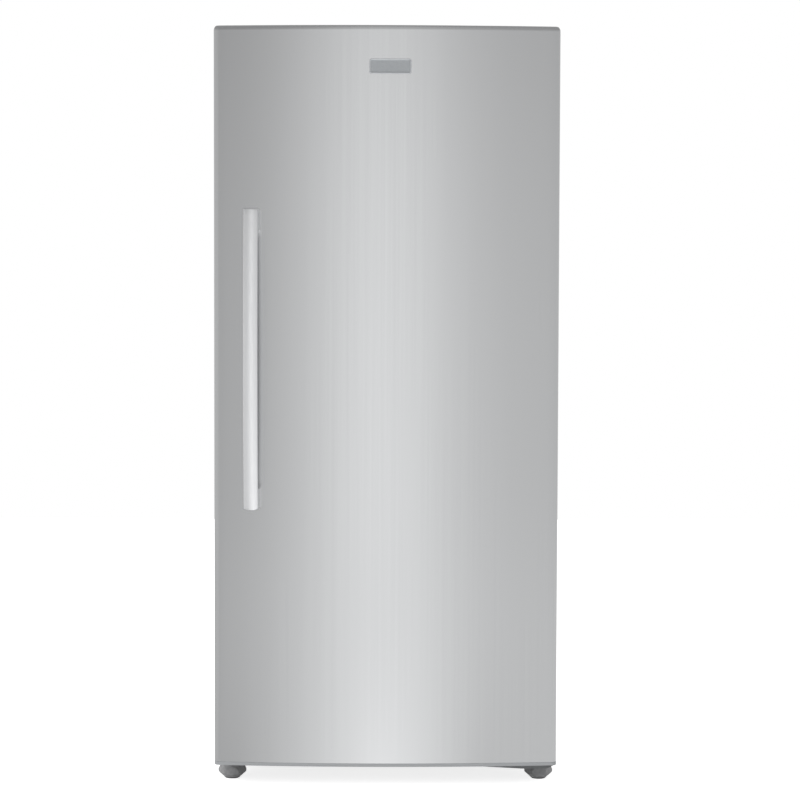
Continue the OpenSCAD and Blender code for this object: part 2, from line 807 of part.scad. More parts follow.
module evaporator_cover() {
    y0 = in_back - ecover_d;
    color("whitesmoke") difference() {
        translate([0, 0, (ecover_z + ecover_top) / 2]) upright(y0, in_back)
            polygon(round_rect(ecover_w, ecover_top - ecover_z, 14));
        translate([0, 0, (ecover_z + ecover_top) / 2]) upright(y0 + ecover_t, in_back + eps)
            polygon(round_rect(ecover_w - 2 * ecover_t, ecover_top - ecover_z - 2 * ecover_t, 14 - ecover_t));
        for (i = [-4 : 4]) let (half = sqrt(pow(efan_d / 2, 2) - pow(i * 12, 2)) - 3)
            block(-half, half, y0 - eps, y0 + 2 * ecover_t, efan_z + i * 12 - 3, efan_z + i * 12 + 3);
        for (i = [-5 : 5]) block(i * 40 - 14, i * 40 + 14, y0 - eps, y0 + 2 * ecover_t,
            ecover_z + 22, ecover_z + 30);
    }
}

module evaporator_fan_motor() {
    color("silver") translate([0, 0, efan_z]) {
        rod_y(in_back - 3, in_back, 30);
        rod_y(in_back - 24, in_back, 18);
        rod_y(efan_y - 4, in_back - 20, shaft_d / 2);
    }
}
module evaporator_fan_blade() {
    color("dimgray") translate([0, efan_y, efan_z]) rotate([-90, 0, 0])
        translate([0, 0, -4]) fan(efan_d, 26, 12, 5, shaft_d / 2 + run_fit);
}

module tongue(z, back) {
    translate([pivot_x, pivot_y, z]) cylinder(h = plate_t, d = tongue_w);
    block(pivot_x - tongue_w / 2, pivot_x + tongue_w / 2, pivot_y, back, z, z + plate_t);
}

module pin_hole(r) {
    translate([pivot_x, pivot_y, 0]) {
        translate([0, 0, low_plate_z - eps]) cylinder(h = pin_in + 3 * plate_t, r = r);
        translate([0, 0, tongue_z - pin_in]) cylinder(h = pin_in + 3 * plate_t, r = r);
    }
}

module top_hinge_bracket() {
    x1 = pivot_x + tongue_w / 2;
    color("gray") difference() {
        union() {
            tongue(tongue_z, top_plate_y + eps);
            block(x1 - top_plate_w, x1, top_plate_y, top_plate_y + top_plate_d, tongue_z, tongue_z + plate_t);
        }
        pin_hole(pin_d / 2 + seat_gap);
        top_screw_holes();
    }
}

module top_screws() {
    for (p = [[14, 20], [14, 62], [66, 20]])
        translate([pivot_x + tongue_w / 2 - p[0], top_plate_y + p[1], tongue_z]) children();
}
module top_screw_holes() {
    top_screws() translate([0, 0, -10]) cylinder(h = 10 + 2 * plate_t, d = screw_d + 2 * seat_gap);
}
module low_screws() {
    for (x = [20, 46]) translate([pivot_x + tongue_w / 2 - x, rail_y, base_z + base_h / 2])
        rotate([90, 0, 0]) children();
}
module low_screw_holes() {
    low_screws() translate([0, 0, -5]) cylinder(h = 5 + 2 * plate_t, d = screw_d + 2 * seat_gap);
}
module screw(grip) {
    translate([0, 0, -grip]) cylinder(h = grip + plate_t + 0.5, d = screw_d);
    translate([0, 0, plate_t]) cylinder(h = 3, d = 2 * screw_d);
}
module hinge_screws() {
    color("silver") {
        top_screws() screw(9);
        low_screws() screw(4);
    }
}

module top_hinge_cover() {
    x1 = pivot_x + tongue_w / 2 + 2;
    w = top_plate_w + 6;
    d = top_plate_d + 12;
    color("gray") translate([x1 - w / 2, front_y + 4 + d / 2, tongue_z]) difference() {
        linear_extrude(plate_t + cover_h) polygon(round_rect(w, d, 8));
        translate([0, 0, -eps]) linear_extrude(plate_t + cover_h - 2 + eps)
            polygon(round_rect(w - 4, d - 4, 6));
        translate([w / 2 - 2 - tongue_w / 2, -d / 2, 0])
            block(-tongue_w / 2 - 0.5, tongue_w / 2 + 0.5, -eps, 4, -eps, plate_t + 0.5);
    }
}

module bottom_hinge_bracket() {
    x1 = pivot_x + tongue_w / 2;
    color("dimgray") difference() {
        union() {
            tongue(low_plate_z, rail_y);
            block(x1 - low_plate_w, x1, pivot_y, rail_y, low_plate_z, low_plate_z + plate_t);
            block(x1 - low_plate_w, x1, rail_y - plate_t, rail_y, low_plate_z, foam_z - 4);
            upright(pivot_y - tongue_w / 2, pivot_y - tongue_w / 2 + low_lip_t)
                polygon([[x1 - low_plate_w, low_plate_z], [x1 - low_plate_w / 3, low_plate_z - low_lip],
                    [x1 - 14, low_plate_z - low_lip], [x1, low_plate_z], [x1, low_plate_z + plate_t],
                    [x1 - low_plate_w, low_plate_z + plate_t]]);
            block(x1 - low_plate_w, x1, pivot_y - tongue_w / 2 + low_lip_t / 2, pivot_y + eps,
                low_plate_z, low_plate_z + plate_t);
        }
        pin_hole(pin_d / 2 + seat_gap);
        low_screw_holes();
    }
}

// Headed pins, the upper one dropped in from above and the lower one standing up
module hinge_pins() {
    color("silver") translate([pivot_x, pivot_y, 0]) {
        translate([0, 0, tongue_z - pin_in + 3]) cylinder(h = pin_in + plate_t - 3, d = pin_d);
        translate([0, 0, tongue_z + plate_t]) cylinder(h = 3, d = pin_d + 6);
        translate([0, 0, low_plate_z]) cylinder(h = plate_t + 2 + pin_in - 3, d = pin_d);
    }
}

module hinge_bushes() {
    color("white") translate([pivot_x, pivot_y, 0]) difference() {
        union() {
            translate([0, 0, notch_z - pin_in + 2]) cylinder(h = pin_in - 2, r = bush_r);
            translate([0, 0, notch_z]) cylinder(h = bush_flange, r = bush_r + 3);
            translate([0, 0, door_z0]) cylinder(h = pin_in, r = bush_r);
            translate([0, 0, door_z0 - bush_flange]) cylinder(h = bush_flange, r = bush_r + 3);
        }
        translate([0, 0, notch_z - pin_in]) cylinder(h = pin_in + 4, r = pin_d / 2 + run_fit);
        translate([0, 0, door_z0 - 4]) cylinder(h = pin_in + 8, r = pin_d / 2 + run_fit);
    }
}

module door_skin() {
    color([0.78, 0.79, 0.8]) difference() {
        translate([0, 0, skin_z]) linear_extrude(door_top - skin_z) door_plan(0, door_back);
        translate([0, 0, skin_z - eps]) linear_extrude(door_top - skin_z + 2 * eps)
            door_plan(skin_t, door_back + eps);
        hinge_notch();
        stud_holes(stud_d / 2 + seat_gap);
    }
}

// Solid end of the door around a hinge bush
module hinge_boss(z0, z1) {
    translate([0, 0, z0]) linear_extrude(z1 - z0) intersection() {
        door_plan(skin_t, door_back - liner_t);
        translate([notch_left - boss_wall, notch_front - boss_wall]) square([200, 200]);
    }
}

module door_cap_top() {
    z1 = door_top - lip;
    color("gray") difference() {
        union() {
            translate([0, 0, z1 - cap_plate]) linear_extrude(cap_plate)
                door_plan(skin_t, door_back - liner_t);
            hinge_boss(notch_z - pin_in - boss_wall, z1);
        }
        hinge_notch();
        translate([pivot_x, pivot_y, notch_z - pin_in]) cylinder(h = pin_in + eps, r = bush_r + seat_gap);
    }
}

module door_cap_bottom() {
    color("dimgray") difference() {
        union() {
            translate([0, 0, door_z0]) linear_extrude(cap_show) door_plan(0, door_back);
            translate([0, 0, door_z0]) linear_extrude(cap_show + cap_in)
                door_plan(skin_t, door_back - liner_t);
            hinge_boss(door_z0, door_z0 + pin_in + boss_wall);
        }
        translate([pivot_x, pivot_y, door_z0 - eps]) cylinder(h = pin_in + 3, r = bush_r + seat_gap);
    }
}

module door_liner() {
    color("white") difference() {
        union() {
            block(skin_t - door_w / 2, door_w / 2 - skin_t, door_back - liner_t, door_back,
                skin_z, door_top - lip);
            ridge_ring(0, door_back - liner_t / 2, door_back + ridge_h);
            for (s = [0, 1]) mirror([s, 0, 0]) for (z = concat(bin_zs, [dairy_z]))
                block(bin_x - lug[0] + 4, bin_x + 4 + liner_t / 2, door_back - liner_t / 2,
                    door_back + lug[1], z - lug[2], z);
        }
        ridge_ring(liner_t, door_back - liner_t - eps, door_back + ridge_h - liner_t);
        hinge_notch();
    }
}

module door_foam() {
    z0 = skin_z + cap_in;
    z1 = door_top - lip - cap_plate;
    color("khaki") difference() {
        union() {
            translate([0, 0, z0]) linear_extrude(z1 - z0) door_plan(skin_t, door_back - liner_t);
            ridge_ring(liner_t, door_back - 3 * liner_t, door_back + ridge_h - liner_t);
        }
        hinge_boss(door_z0, door_z0 + pin_in + boss_wall);
        hinge_boss(notch_z - pin_in - boss_wall, door_top);
        stud_holes(stud_d / 2 + seat_gap);
    }
}

// Magnetic seal: a base strip and a narrower bulb that meets the cabinet's rim
module door_gasket() {
    y1 = front_y - run_gap;
    color("darkgray") {
        seal_ring(0, door_back, door_back + 4);
        seal_ring(4, door_back + 3, y1);
    }
}
module seal_ring(t, y0, y1) {
    upright(y0, y1) difference() {
        translate([-seal_x + t, seal_z0 + t]) square([2 * (seal_x - t), seal_z1 - seal_z0 - 2 * t]);
        translate([-seal_x + seal_w - t, seal_z0 + seal_w - t])
            square([2 * (seal_x - seal_w + t), seal_z1 - seal_z0 - 2 * (seal_w - t)]);
    }
}

// Arched grip with a foot at each end, drawn from the side and seated on the bowed face
module handle() {
    half = handle_len / 2;
    tp = 1 - post_len / half;
    sunk = 12;
    color([0.85, 0.86, 0.87]) difference() {
        translate([-handle_off, handle_face, handle_z0 + half]) across(handle_w) polygon(concat(
            [for (i = [0 : grip_n]) let (t = -1 + 2 * i / grip_n) [-grip_at(t), t * half]],
            [[sunk, half], [sunk, tp * half]],
            [for (i = [0 : grip_n]) let (t = tp - 2 * tp * i / grip_n) [grip_t - grip_at(t), t * half]],
            [[sunk, -tp * half], [sunk, -half]]));
        translate([0, 0, skin_z]) linear_extrude(door_top - skin_z) door_plan(0, door_back);
        stud_holes(stud_d / 2 + seat_gap);
    }
}

module handle_studs() {
    color("silver") stud_holes(stud_d / 2);
}

module badge() {
    color([0.6, 0.61, 0.62]) difference() {
        translate([badge_side, 0, door_top - badge_drop]) upright(apex_y - badge_t, apex_y + 2)
            polygon(round_rect(badge_w, badge_h, 6));
        translate([0, 0, skin_z]) linear_extrude(door_top - skin_z) door_plan(0, door_back);
    }
}

module door_bins() {
    color([0.9, 0.94, 0.96]) for (z = bin_zs)
        tray(-bin_x, bin_x, door_back, door_back + bin_d, z, bin_h, mould_t, bin_r);
}

// The dairy bin, its sides raised at the back to carry the lid's pivots
module dairy_bin() {
    ear_h = 20;
    color([0.9, 0.94, 0.96]) difference() {
        union() {
            tray(-bin_x, bin_x, door_back, door_back + bin_d, dairy_z, bin_h, mould_t, bin_r);
            for (s = [0, 1]) mirror([s, 0, 0]) block(bin_x - 4, bin_x, door_back + bin_r, door_back + bin_r + 20,
                dairy_z + bin_h - 30, dairy_z + bin_h + ear_h);
        }
        translate([0, door_back + bin_r + 10, dairy_z + bin_h + ear_h / 2])
            rod_x(-bin_x - eps, bin_x + eps, lid_pin_d / 2 + run_fit);
    }
}

module dairy_lid() {
    y0 = door_back + bin_r + 10;
    z0 = dairy_z + bin_h + 10;
    x1 = bin_x - 4 - run_gap;
    color([0.85, 0.92, 0.96]) {
        translate([0, y0, z0]) {
            rod_x(-bin_x, bin_x, lid_pin_d / 2);
            rod_x(-x1, x1, lid_pin_d / 2 + 2);
        }
        block(-x1, x1, y0, door_back + bin_d, z0 + 1, z0 + 4);
        block(-x1, x1, door_back + bin_d - 3, door_back + bin_d, z0 - 8, z0 + 4);
    }
}

module shelf_frame(z) {
    difference() {
        block(-shelf_half, shelf_half, shelf_y, shelf_back, z, z + shelf_t);
        block(shelf_rim - shelf_half, shelf_half - shelf_rim, shelf_y + shelf_rim, shelf_back - shelf_rim,
            z - eps, z + shelf_t + eps);
        shelf_pane(z, seat_gap);
    }
}
module shelf_pane(z, gap) {
    seat = shelf_rim / 2;
    block(seat - shelf_half - gap, shelf_half - seat + gap, shelf_y + seat - gap, shelf_back - seat + gap,
        z + shelf_t - glass_t, z + shelf_t);
}
module shelf_frames() {
    color("whitesmoke") for (i = [0 : shelf_n - 1]) shelf_frame(shelf_z + i * shelf_pitch);
}
module shelf_glass(i) {
    color([0.75, 0.88, 0.86, 0.6]) if (i < shelf_n) shelf_pane(shelf_z + i * shelf_pitch, 0);
}
module shelf_glass_1() { shelf_glass(0); }
module shelf_glass_2() { shelf_glass(1); }
module shelf_glass_3() { shelf_glass(2); }

// Plate over the drawers, its front rail with the slider slots, and the tee rail between them
module crisper_cover() {
    y1 = crisper_y + crisper_d;
    color("whitesmoke") difference() {
        union() {
            block(-shelf_half, shelf_half, crisper_y, y1, cover_z, cover_z + cover_t);
            block(-shelf_half, shelf_half, crisper_y - fascia_t, crisper_y, cover_z, cover_z + fascia_h);
            block(-web_t / 2, web_t / 2, crisper_y + 6, y1, tee_z - tee_t, cover_z + 1);
            block(-tee_w / 2, tee_w / 2, crisper_y + 6, y1, tee_z - tee_t, tee_z);
        }
        for (s = [-1, 1]) translate([s * slider_x, 0, slot_z])
            block(-slider_travel / 2 - 4, slider_travel / 2 + 4, crisper_y - fascia_t - eps, crisper_y + eps,
                -slot_h / 2, slot_h / 2);
    }
}

// Knob, neck through the slot, and the clip behind the rail
module humidity_slider(s) {
    f0 = crisper_y - fascia_t;
    color("lightsteelblue") translate([s * slider_x - slider_travel / 2, 0, slot_z]) {
        block(-knob[0] / 2, knob[0] / 2, f0 - run_gap - knob[1], f0 - run_gap, -knob[2] / 2, knob[2] / 2);
        block(-3.5, 3.5, f0 - 1, crisper_y + 1, run_gap - slot_h / 2, slot_h / 2 - run_gap);
        block(-6, 6, crisper_y + run_gap, crisper_y + run_gap + 2, -knob[2] / 2 + 1, knob[2] / 2 - 1);
    }
}
module humidity_slider_left() { humidity_slider(-1); }
module humidity_slider_right() { humidity_slider(1); }

module crisper(s) {
    x0 = crisper_in;
    x1 = crisper_out;
    cx = (x0 + x1) / 2;
    color([0.88, 0.93, 0.96]) mirror([s < 0 ? 1 : 0, 0, 0]) {
        difference() {
            block(x0, x1, crisper_y, crisper_y + crisper_d, crisper_z, crisper_z + crisper_h);
            block(x0 + mould_t, x1 - mould_t, crisper_y + 2 * mould_t, crisper_y + crisper_d - mould_t,
                crisper_z + mould_t, crisper_z + crisper_h + eps);
        }
        translate([cx, crisper_y, crisper_z + crisper_h - 24])
            block(-pull[0] / 2, pull[0] / 2, -pull[1], eps, 0, pull[2]);
        translate([cx, crisper_y - pull[1], crisper_z + crisper_h - 24])
            block(-pull[0] / 2, pull[0] / 2, 0, 3, -14, pull[2]);
    }
}
module crisper_left() { crisper(-1); }
module crisper_right() { crisper(1); }

module control_housing() {
    color("whitesmoke") difference() {
        block(-ctrl_w / 2, ctrl_w / 2, ctrl_y0, ctrl_y1, ctrl_z, in_ceil);
        block(mould_t - ctrl_w / 2, ctrl_w / 2 - mould_t, ctrl_y0 + mould_t, ctrl_y1 - mould_t,
            ctrl_z + mould_t, in_ceil + eps);
        translate([dial_x, 0, ctrl_z + ctrl_h / 2])
            rod_y(ctrl_y0 - eps, ctrl_y0 + 2 * mould_t, 3 + run_fit);
    }
}

module lamp_lens() {
    color([1, 1, 0.95]) difference() {
        translate([lamp_x, (ctrl_y0 + ctrl_y1) / 2, ctrl_z - lamp_h]) linear_extrude(lamp_h)
            polygon(round_rect(lamp_w, lamp_d, 14));
        translate([lamp_x, (ctrl_y0 + ctrl_y1) / 2, ctrl_z - lamp_h + lamp_wall]) linear_extrude(lamp_h)
            polygon(round_rect(lamp_w - 2 * lamp_wall, lamp_d - 2 * lamp_wall, 12));
    }
}

// Dial with its finger bar and the shaft that turns in the housing
module temperature_dial() {
    color("lightgray") translate([dial_x, 0, ctrl_z + ctrl_h / 2]) {
        rod_y(ctrl_y0 - run_gap - dial_h / 2, ctrl_y0 - run_gap, dial_d / 2);
        block(-3, 3, ctrl_y0 - run_gap - dial_h, ctrl_y0 - run_gap - dial_h / 2 + 1, -dial_d / 2 + 2, dial_d / 2 - 2);
        rod_y(ctrl_y0 - 1, ctrl_y0 + 12, 3);
    }
}

// Switch body behind the rim: a lip that guides the plunger, and the chamber of its collar
module switch_housing() {
    w = switch_w / 2;
    color("white") translate([switch_x, 0, switch_z]) difference() {
        block(-w, w, front_y, front_y + switch_l, -w, w);
        rod_y(front_y - eps, front_y + switch_l - switch_wall, plunger_d / 2 + run_fit);
        rod_y(front_y + switch_lip, front_y + switch_l - switch_wall, w - switch_wall);
    }
}
module light_switch_plunger() {
    collar_y = front_y + switch_lip + plunger_travel + run_gap;
    color("white") translate([switch_x, 0, switch_z]) {
        rod_y(door_back + 2 * run_gap, collar_y + collar_t, plunger_d / 2);
        rod_y(collar_y, collar_y + collar_t, switch_w / 2 - switch_wall - run_gap);
    }
}

side_panel_left();
side_panel_right();
top_panel();
back_panel();
cabinet_foam();
cabinet_liner();
base_frame();
machine_cover();
compressor();
compressor_mounts();
start_relay_cover();
condenser();
condenser_fan_motor();
condenser_fan_blade();
drain_pan();
filter_drier();
refrigerant_lines();
power_inlet();
evaporator();
evaporator_cover();
evaporator_fan_motor();
evaporator_fan_blade();
top_hinge_bracket();
top_hinge_cover();
bottom_hinge_bracket();
hinge_pins();
hinge_bushes();
hinge_screws();
shelf_frames();
shelf_glass_1();
shelf_glass_2();
shelf_glass_3();
crisper_cover();
crisper_left();
crisper_right();
humidity_slider_left();
humidity_slider_right();
control_housing();
lamp_lens();
temperature_dial();
switch_housing();
light_switch_plunger();
front_foot_left();
front_foot_right();
rear_roller_left();
rear_roller_right();
roller_axles();
door_skin();
door_liner();
door_foam();
door_cap_top();
door_cap_bottom();
door_gasket();
handle();
handle_studs();
badge();
door_bins();
dairy_bin();
dairy_lid();
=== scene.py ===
import json
import math

import bmesh
import bpy
from mathutils import Matrix, Vector


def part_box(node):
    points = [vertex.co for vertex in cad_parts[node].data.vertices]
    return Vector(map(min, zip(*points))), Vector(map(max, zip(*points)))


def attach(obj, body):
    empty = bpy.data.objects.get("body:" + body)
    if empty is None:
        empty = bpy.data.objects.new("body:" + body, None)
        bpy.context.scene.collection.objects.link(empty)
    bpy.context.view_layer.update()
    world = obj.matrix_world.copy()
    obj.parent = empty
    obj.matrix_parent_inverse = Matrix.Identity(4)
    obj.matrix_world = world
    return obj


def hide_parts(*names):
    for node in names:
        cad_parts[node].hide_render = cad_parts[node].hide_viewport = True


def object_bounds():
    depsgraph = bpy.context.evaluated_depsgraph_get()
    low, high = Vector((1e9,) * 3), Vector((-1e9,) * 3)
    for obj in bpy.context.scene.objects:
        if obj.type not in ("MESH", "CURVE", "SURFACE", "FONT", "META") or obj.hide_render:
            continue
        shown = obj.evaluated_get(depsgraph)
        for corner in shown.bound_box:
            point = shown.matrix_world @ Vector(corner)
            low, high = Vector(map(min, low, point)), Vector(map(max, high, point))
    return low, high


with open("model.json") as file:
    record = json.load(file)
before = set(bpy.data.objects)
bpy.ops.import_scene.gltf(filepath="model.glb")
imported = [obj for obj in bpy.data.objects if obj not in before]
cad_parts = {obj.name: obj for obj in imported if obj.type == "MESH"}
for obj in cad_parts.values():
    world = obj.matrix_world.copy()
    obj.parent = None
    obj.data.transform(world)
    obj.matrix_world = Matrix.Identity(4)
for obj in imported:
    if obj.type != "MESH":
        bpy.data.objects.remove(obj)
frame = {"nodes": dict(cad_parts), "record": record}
nodes = frame["nodes"]
cad_lo, cad_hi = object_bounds()
MM = 0.001


def linear(hex_colour):
    """An sRGB colour such as "#8f9296" as linear red, green, blue and alpha."""
    parts = [int(hex_colour[i:i + 2], 16) / 255 for i in (1, 3, 5)]
    return [p / 12.92 if p <= 0.04045 else ((p + 0.055) / 1.055) ** 2.4 for p in parts] + [1.0]


def add(tree, kind, settings=None, links=None):
    """Adds a node. Lower-case names are its properties, the other keys its sockets."""
    node = tree.nodes.new(kind)
    for key, value in (settings or {}).items():
        if isinstance(key, str) and key.islower():
            setattr(node, key, value)
        else:
            node.inputs[key].default_value = value
    for key, socket in (links or {}).items():
        tree.links.new(socket, node.inputs[key])
    return node


def maths(tree, operation, *values):
    """What a maths node makes of values, each of them a float or a socket."""
    node = add(tree, "ShaderNodeMath", {"operation": operation})
    for i, value in enumerate(values):
        if isinstance(value, float):
            node.inputs[i].default_value = value
        else:
            tree.links.new(value, node.inputs[i])
    return node.outputs[0]


def ranged(tree, value, old, new=(0.0, 1.0), kind="LINEAR"):
    """The socket value, moved from the range old to the range new."""
    ends = {"interpolation_type": kind, "From Min": old[0], "From Max": old[1], "To Min": new[0],
            "To Max": new[1]}
    return add(tree, "ShaderNodeMapRange", ends, {"Value": value}).outputs[0]


def new_object(name, data):
    piece = bpy.data.objects.new(name, data)
    bpy.context.scene.collection.objects.link(piece)
    return piece


def made_mesh(piece):
    """The mesh that an object's modifiers or text make."""
    bpy.context.view_layer.update()
    return bpy.data.meshes.new_from_object(piece.evaluated_get(bpy.context.evaluated_depsgraph_get()))


def finish_with(piece, material):
    piece.data.materials.clear()
    piece.data.materials.append(material)


# Camera: straight in front, at chest height, looking slightly down
EYE = Vector((0.0, -5.6, 1.216))
YAW = math.radians(0.36)
PITCH = math.radians(-2.853)
ROLL = math.radians(0.16)
LENS = 98.19


def aim_camera():
    look = Vector((math.sin(YAW) * math.cos(PITCH), math.cos(YAW) * math.cos(PITCH), math.sin(PITCH)))
    right = Vector((math.cos(YAW), -math.sin(YAW), 0.0))
    up = right.cross(look)
    side = right * math.cos(ROLL) + up * math.sin(ROLL)
    head = up * math.cos(ROLL) - right * math.sin(ROLL)
    camera = new_object("camera", bpy.data.cameras.new("camera"))
    camera.data.sensor_width = 36.0
    camera.data.lens = LENS
    camera.data.clip_end = 200.0
    turn = Matrix((side, head, -look)).transposed().to_4x4()
    camera.matrix_world = Matrix.Translation(EYE) @ turn
    bpy.context.scene.camera = camera


aim_camera()


# Finishes

def surface(name, sockets):
    """A material with a shader and its output, and the object's own coordinates."""
    mat = bpy.data.materials.new(name)
    mat.use_nodes = True
    tree = mat.node_tree
    tree.nodes.clear()
    place = add(tree, "ShaderNodeTexCoord").outputs["Object"]
    shader = add(tree, "ShaderNodeBsdfPrincipled", sockets)
    add(tree, "ShaderNodeOutputMaterial", links={"Surface": shader.outputs[0]})
    return mat, tree, place, shader


def coloured(tree, shader, spread, pale, dark, rough):
    """As the socket spread goes from 0 to 1, the colour goes from pale to dark, and the
    roughness over rough."""
    tint = add(tree, "ShaderNodeMix", {"data_type": "RGBA", 6: linear(pale), 7: linear(dark)}, {0: spread})
    tree.links.new(tint.outputs[2], shader.inputs["Base Color"])
    tree.links.new(ranged(tree, spread, (0.0, 1.0), rough), shader.inputs["Roughness"])


def embossed(tree, shader, height, depth):
    """Raises the surface by depth millimetres where the socket height is 1."""
    relief = add(tree, "ShaderNodeBump", {"Strength": 1.0, "Distance": depth * MM}, {"Height": height})
    tree.links.new(relief.outputs[0], shader.inputs["Normal"])


def grained(name, pale, dark, size, rough, bump=0.0, fine=2.0, spots="ShaderNodeTexNoise", sockets=None):
    """A finish whose grain is size millimetres along X, Y and Z: it shifts the colour from pale
    to dark, the roughness over rough, and raises the surface by bump millimetres."""
    mat, tree, place, shader = surface(name, sockets or {})
    scaled = add(tree, "ShaderNodeMapping", {"Scale": [1 / (s * MM) for s in size]}, {"Vector": place})
    if spots == "ShaderNodeTexVoronoi":
        grain = add(tree, spots, {"Scale": 1.0}, {"Vector": scaled.outputs[0]})
        value = add(tree, "ShaderNodeSeparateColor", links={"Color": grain.outputs["Color"]}).outputs[0]
    else:
        grain = add(tree, spots, {"Scale": 1.0, "Detail": fine, "Roughness": 0.6},
                    {"Vector": scaled.outputs[0]})
        value = grain.outputs[0]
    coloured(tree, shader, ranged(tree, value, (0.3, 0.7)), pale, dark, rough)
    if bump:
        embossed(tree, shader, value, bump)
    return mat


def brushed_stainless():
    """Stainless sheet, brushed along its height. The scratches are far finer than a pixel, so
    they are drawn 2 mm and 9 mm wide: the eye gets faint upright streaks and a highlight
    that spreads sideways."""
    mat, tree, place, shader = surface("brushed_stainless_sheet", {"Metallic": 1.0, "Anisotropic": 0.2})
    along = add(tree, "ShaderNodeTangent", {"direction_type": "RADIAL", "axis": "Z"})
    tree.links.new(along.outputs[0], shader.inputs["Tangent"])
    tones = []
    for width, length in ((2.0, 600.0), (9.0, 2500.0)):
        scaled = add(tree, "ShaderNodeMapping",
                     {"Scale": (1 / (width * MM), 1 / (60 * MM), 1 / (length * MM))}, {"Vector": place})
        tones.append(add(tree, "ShaderNodeTexNoise", {"Scale": 1.0, "Detail": 3.0, "Roughness": 0.65},
                         {"Vector": scaled.outputs[0]}).outputs[0])
    streak = ranged(tree, maths(tree, "ADD", *tones), (0.7, 1.3))
    coloured(tree, shader, streak, "#cbcccd", "#c9cacb", (0.23, 0.245))
    return mat


def clear_sheet(name, tint, rough, ior, wave, alpha=1.0):
    """See-through glass or plastic with a slight waviness of wave millimetres."""
    mat, tree, place, shader = surface(name, {"Base Color": linear(tint), "Transmission Weight": 1.0,
                                              "IOR": ior, "Alpha": alpha})
    scaled = add(tree, "ShaderNodeMapping", {"Scale": [1 / (40 * MM)] * 3}, {"Vector": place})
    noise = add(tree, "ShaderNodeTexNoise", {"Scale": 1.0, "Detail": 1.0}, {"Vector": scaled.outputs[0]})
    ripple = noise.outputs[0]
    gloss = ranged(tree, ripple, (0.0, 1.0), (rough, rough + 0.05))
    tree.links.new(gloss, shader.inputs["Roughness"])
    embossed(tree, shader, ripple, wave)
    return mat


stainless = brushed_stainless()
# Anodised aluminium, satin: paler than the door and evenly matt
handle_alu = grained("satin_anodised_aluminium", "#f6f7f8", "#f1f2f4", (2, 2, 90), (0.34, 0.4), fine=3,
                     sockets={"Metallic": 1.0})
# Zinc die casting with a satin nickel finish: the badge's rim, then its etched field
badge_nickel = grained("satin_nickel_plate", "#d6d9dc", "#cbced1", (30, 6, 1.5), (0.3, 0.42), fine=3,
                       sockets={"Metallic": 1.0})
badge_field = grained("etched_nickel_field", "#c6c9cc", "#bcc0c3", (2, 2, 2), (0.45, 0.55), 0.03,
                      sockets={"Metallic": 1.0})
# Painted sheet steel with a pebbled print, 2.5 mm to a pebble: dull grey, soft sheen
side_paint = grained("pebbled_painted_steel", "#a4a7aa", "#9ea1a4", (2.5, 2.5, 2.5), (0.36, 0.46), 0.1,
                     sockets={"Specular IOR Level": 0.5})
# Hot-dip galvanised sheet, skin-passed: crystals of 9 mm that hardly differ in shine
galvanised = grained("galvanised_sheet", "#bbbec0", "#b7babc", (9, 9, 9), (0.46, 0.5),
                     spots="ShaderNodeTexVoronoi", sockets={"Metallic": 0.6})
# Polyurethane foam: open, crumbly and yellowish
foam = grained("polyurethane_foam", "#dccb94", "#c9b57c", (5, 5, 5), (0.85, 0.95), 0.6, fine=5)
# Vacuum-formed high-impact polystyrene: white, glossy and even
liner_white = grained("formed_polystyrene", "#eceef0", "#e9ebed", (60, 60, 60), (0.32, 0.36))
# Electro-coated steel: black, even, satin
base_black = grained("black_coated_steel", "#2b2c2e", "#242527", (6, 6, 6), (0.4, 0.5), 0.04)
# Moulded ABS, spark-textured, with a fine matt grain: the door's lower cap, then its upper cap
# and the hinge cover
cap_dark = grained("dark_textured_abs", "#a0a2a4", "#989a9c", (1.5, 1.5, 1.5), (0.5, 0.6), 0.05)
cap_grey = grained("grey_textured_abs", "#6d7073", "#66696c", (1.5, 1.5, 1.5), (0.5, 0.6), 0.05)
# Black enamel over a pressed shell: glossy with slight flow marks
enamel = grained("black_enamel", "#161617", "#101011", (20, 20, 20), (0.22, 0.32), 0.06)
# EPDM rubber: matt black with a dusty bloom
epdm = grained("epdm_rubber", "#2a2a2a", "#202020", (4, 4, 4), (0.75, 0.88), 0.05)
# Zinc-plated steel: bright, a little cloudy
zinc = grained("zinc_plated_steel", "#c2c4c4", "#adb0b2", (8, 8, 8), (0.28, 0.42), 0.01,
               sockets={"Metallic": 1.0})
# Glass-filled polypropylene: dark, with pale fibre specks
fan_plastic = grained("glass_filled_polypropylene", "#3b3d3f", "#333537", (2, 2, 6), (0.45, 0.6), 0.04)
# Drawn copper tube: bright where handled, browner in patches
copper = grained("drawn_copper", "#c98257", "#a9653f", (25, 25, 25), (0.25, 0.45), 0.01, fine=4,
                 sockets={"Metallic": 1.0})
# Rolled aluminium fins: pale and cold
fin_alu = grained("rolled_aluminium_fin", "#cdd0d2", "#c1c4c6", (3, 30, 30), (0.35, 0.45), 0.01,
                  sockets={"Metallic": 1.0})
# Moulded ABS, satin white, for the inside trim
trim_white = grained("satin_white_abs", "#e8eaec", "#e2e4e6", (2.5, 2.5, 2.5), (0.38, 0.46), 0.03)
# Painted hinge plate, pressed from 4 mm steel
hinge_paint = grained("painted_hinge_plate", "#5c5f62", "#54575a", (3, 3, 3), (0.4, 0.5), 0.05)
# The lower hinge bracket, powder coated a paler grey than the base
bracket_paint = grained("powder_coated_bracket", "#7d7f80", "#747677", (3, 3, 3), (0.45, 0.55), 0.05)
# Turned and plated steel pins and screws
turned_steel = grained("turned_steel", "#b4b6b8", "#a6a9ab", (30, 30, 0.8), (0.22, 0.34), 0.01,
                       sockets={"Metallic": 1.0})
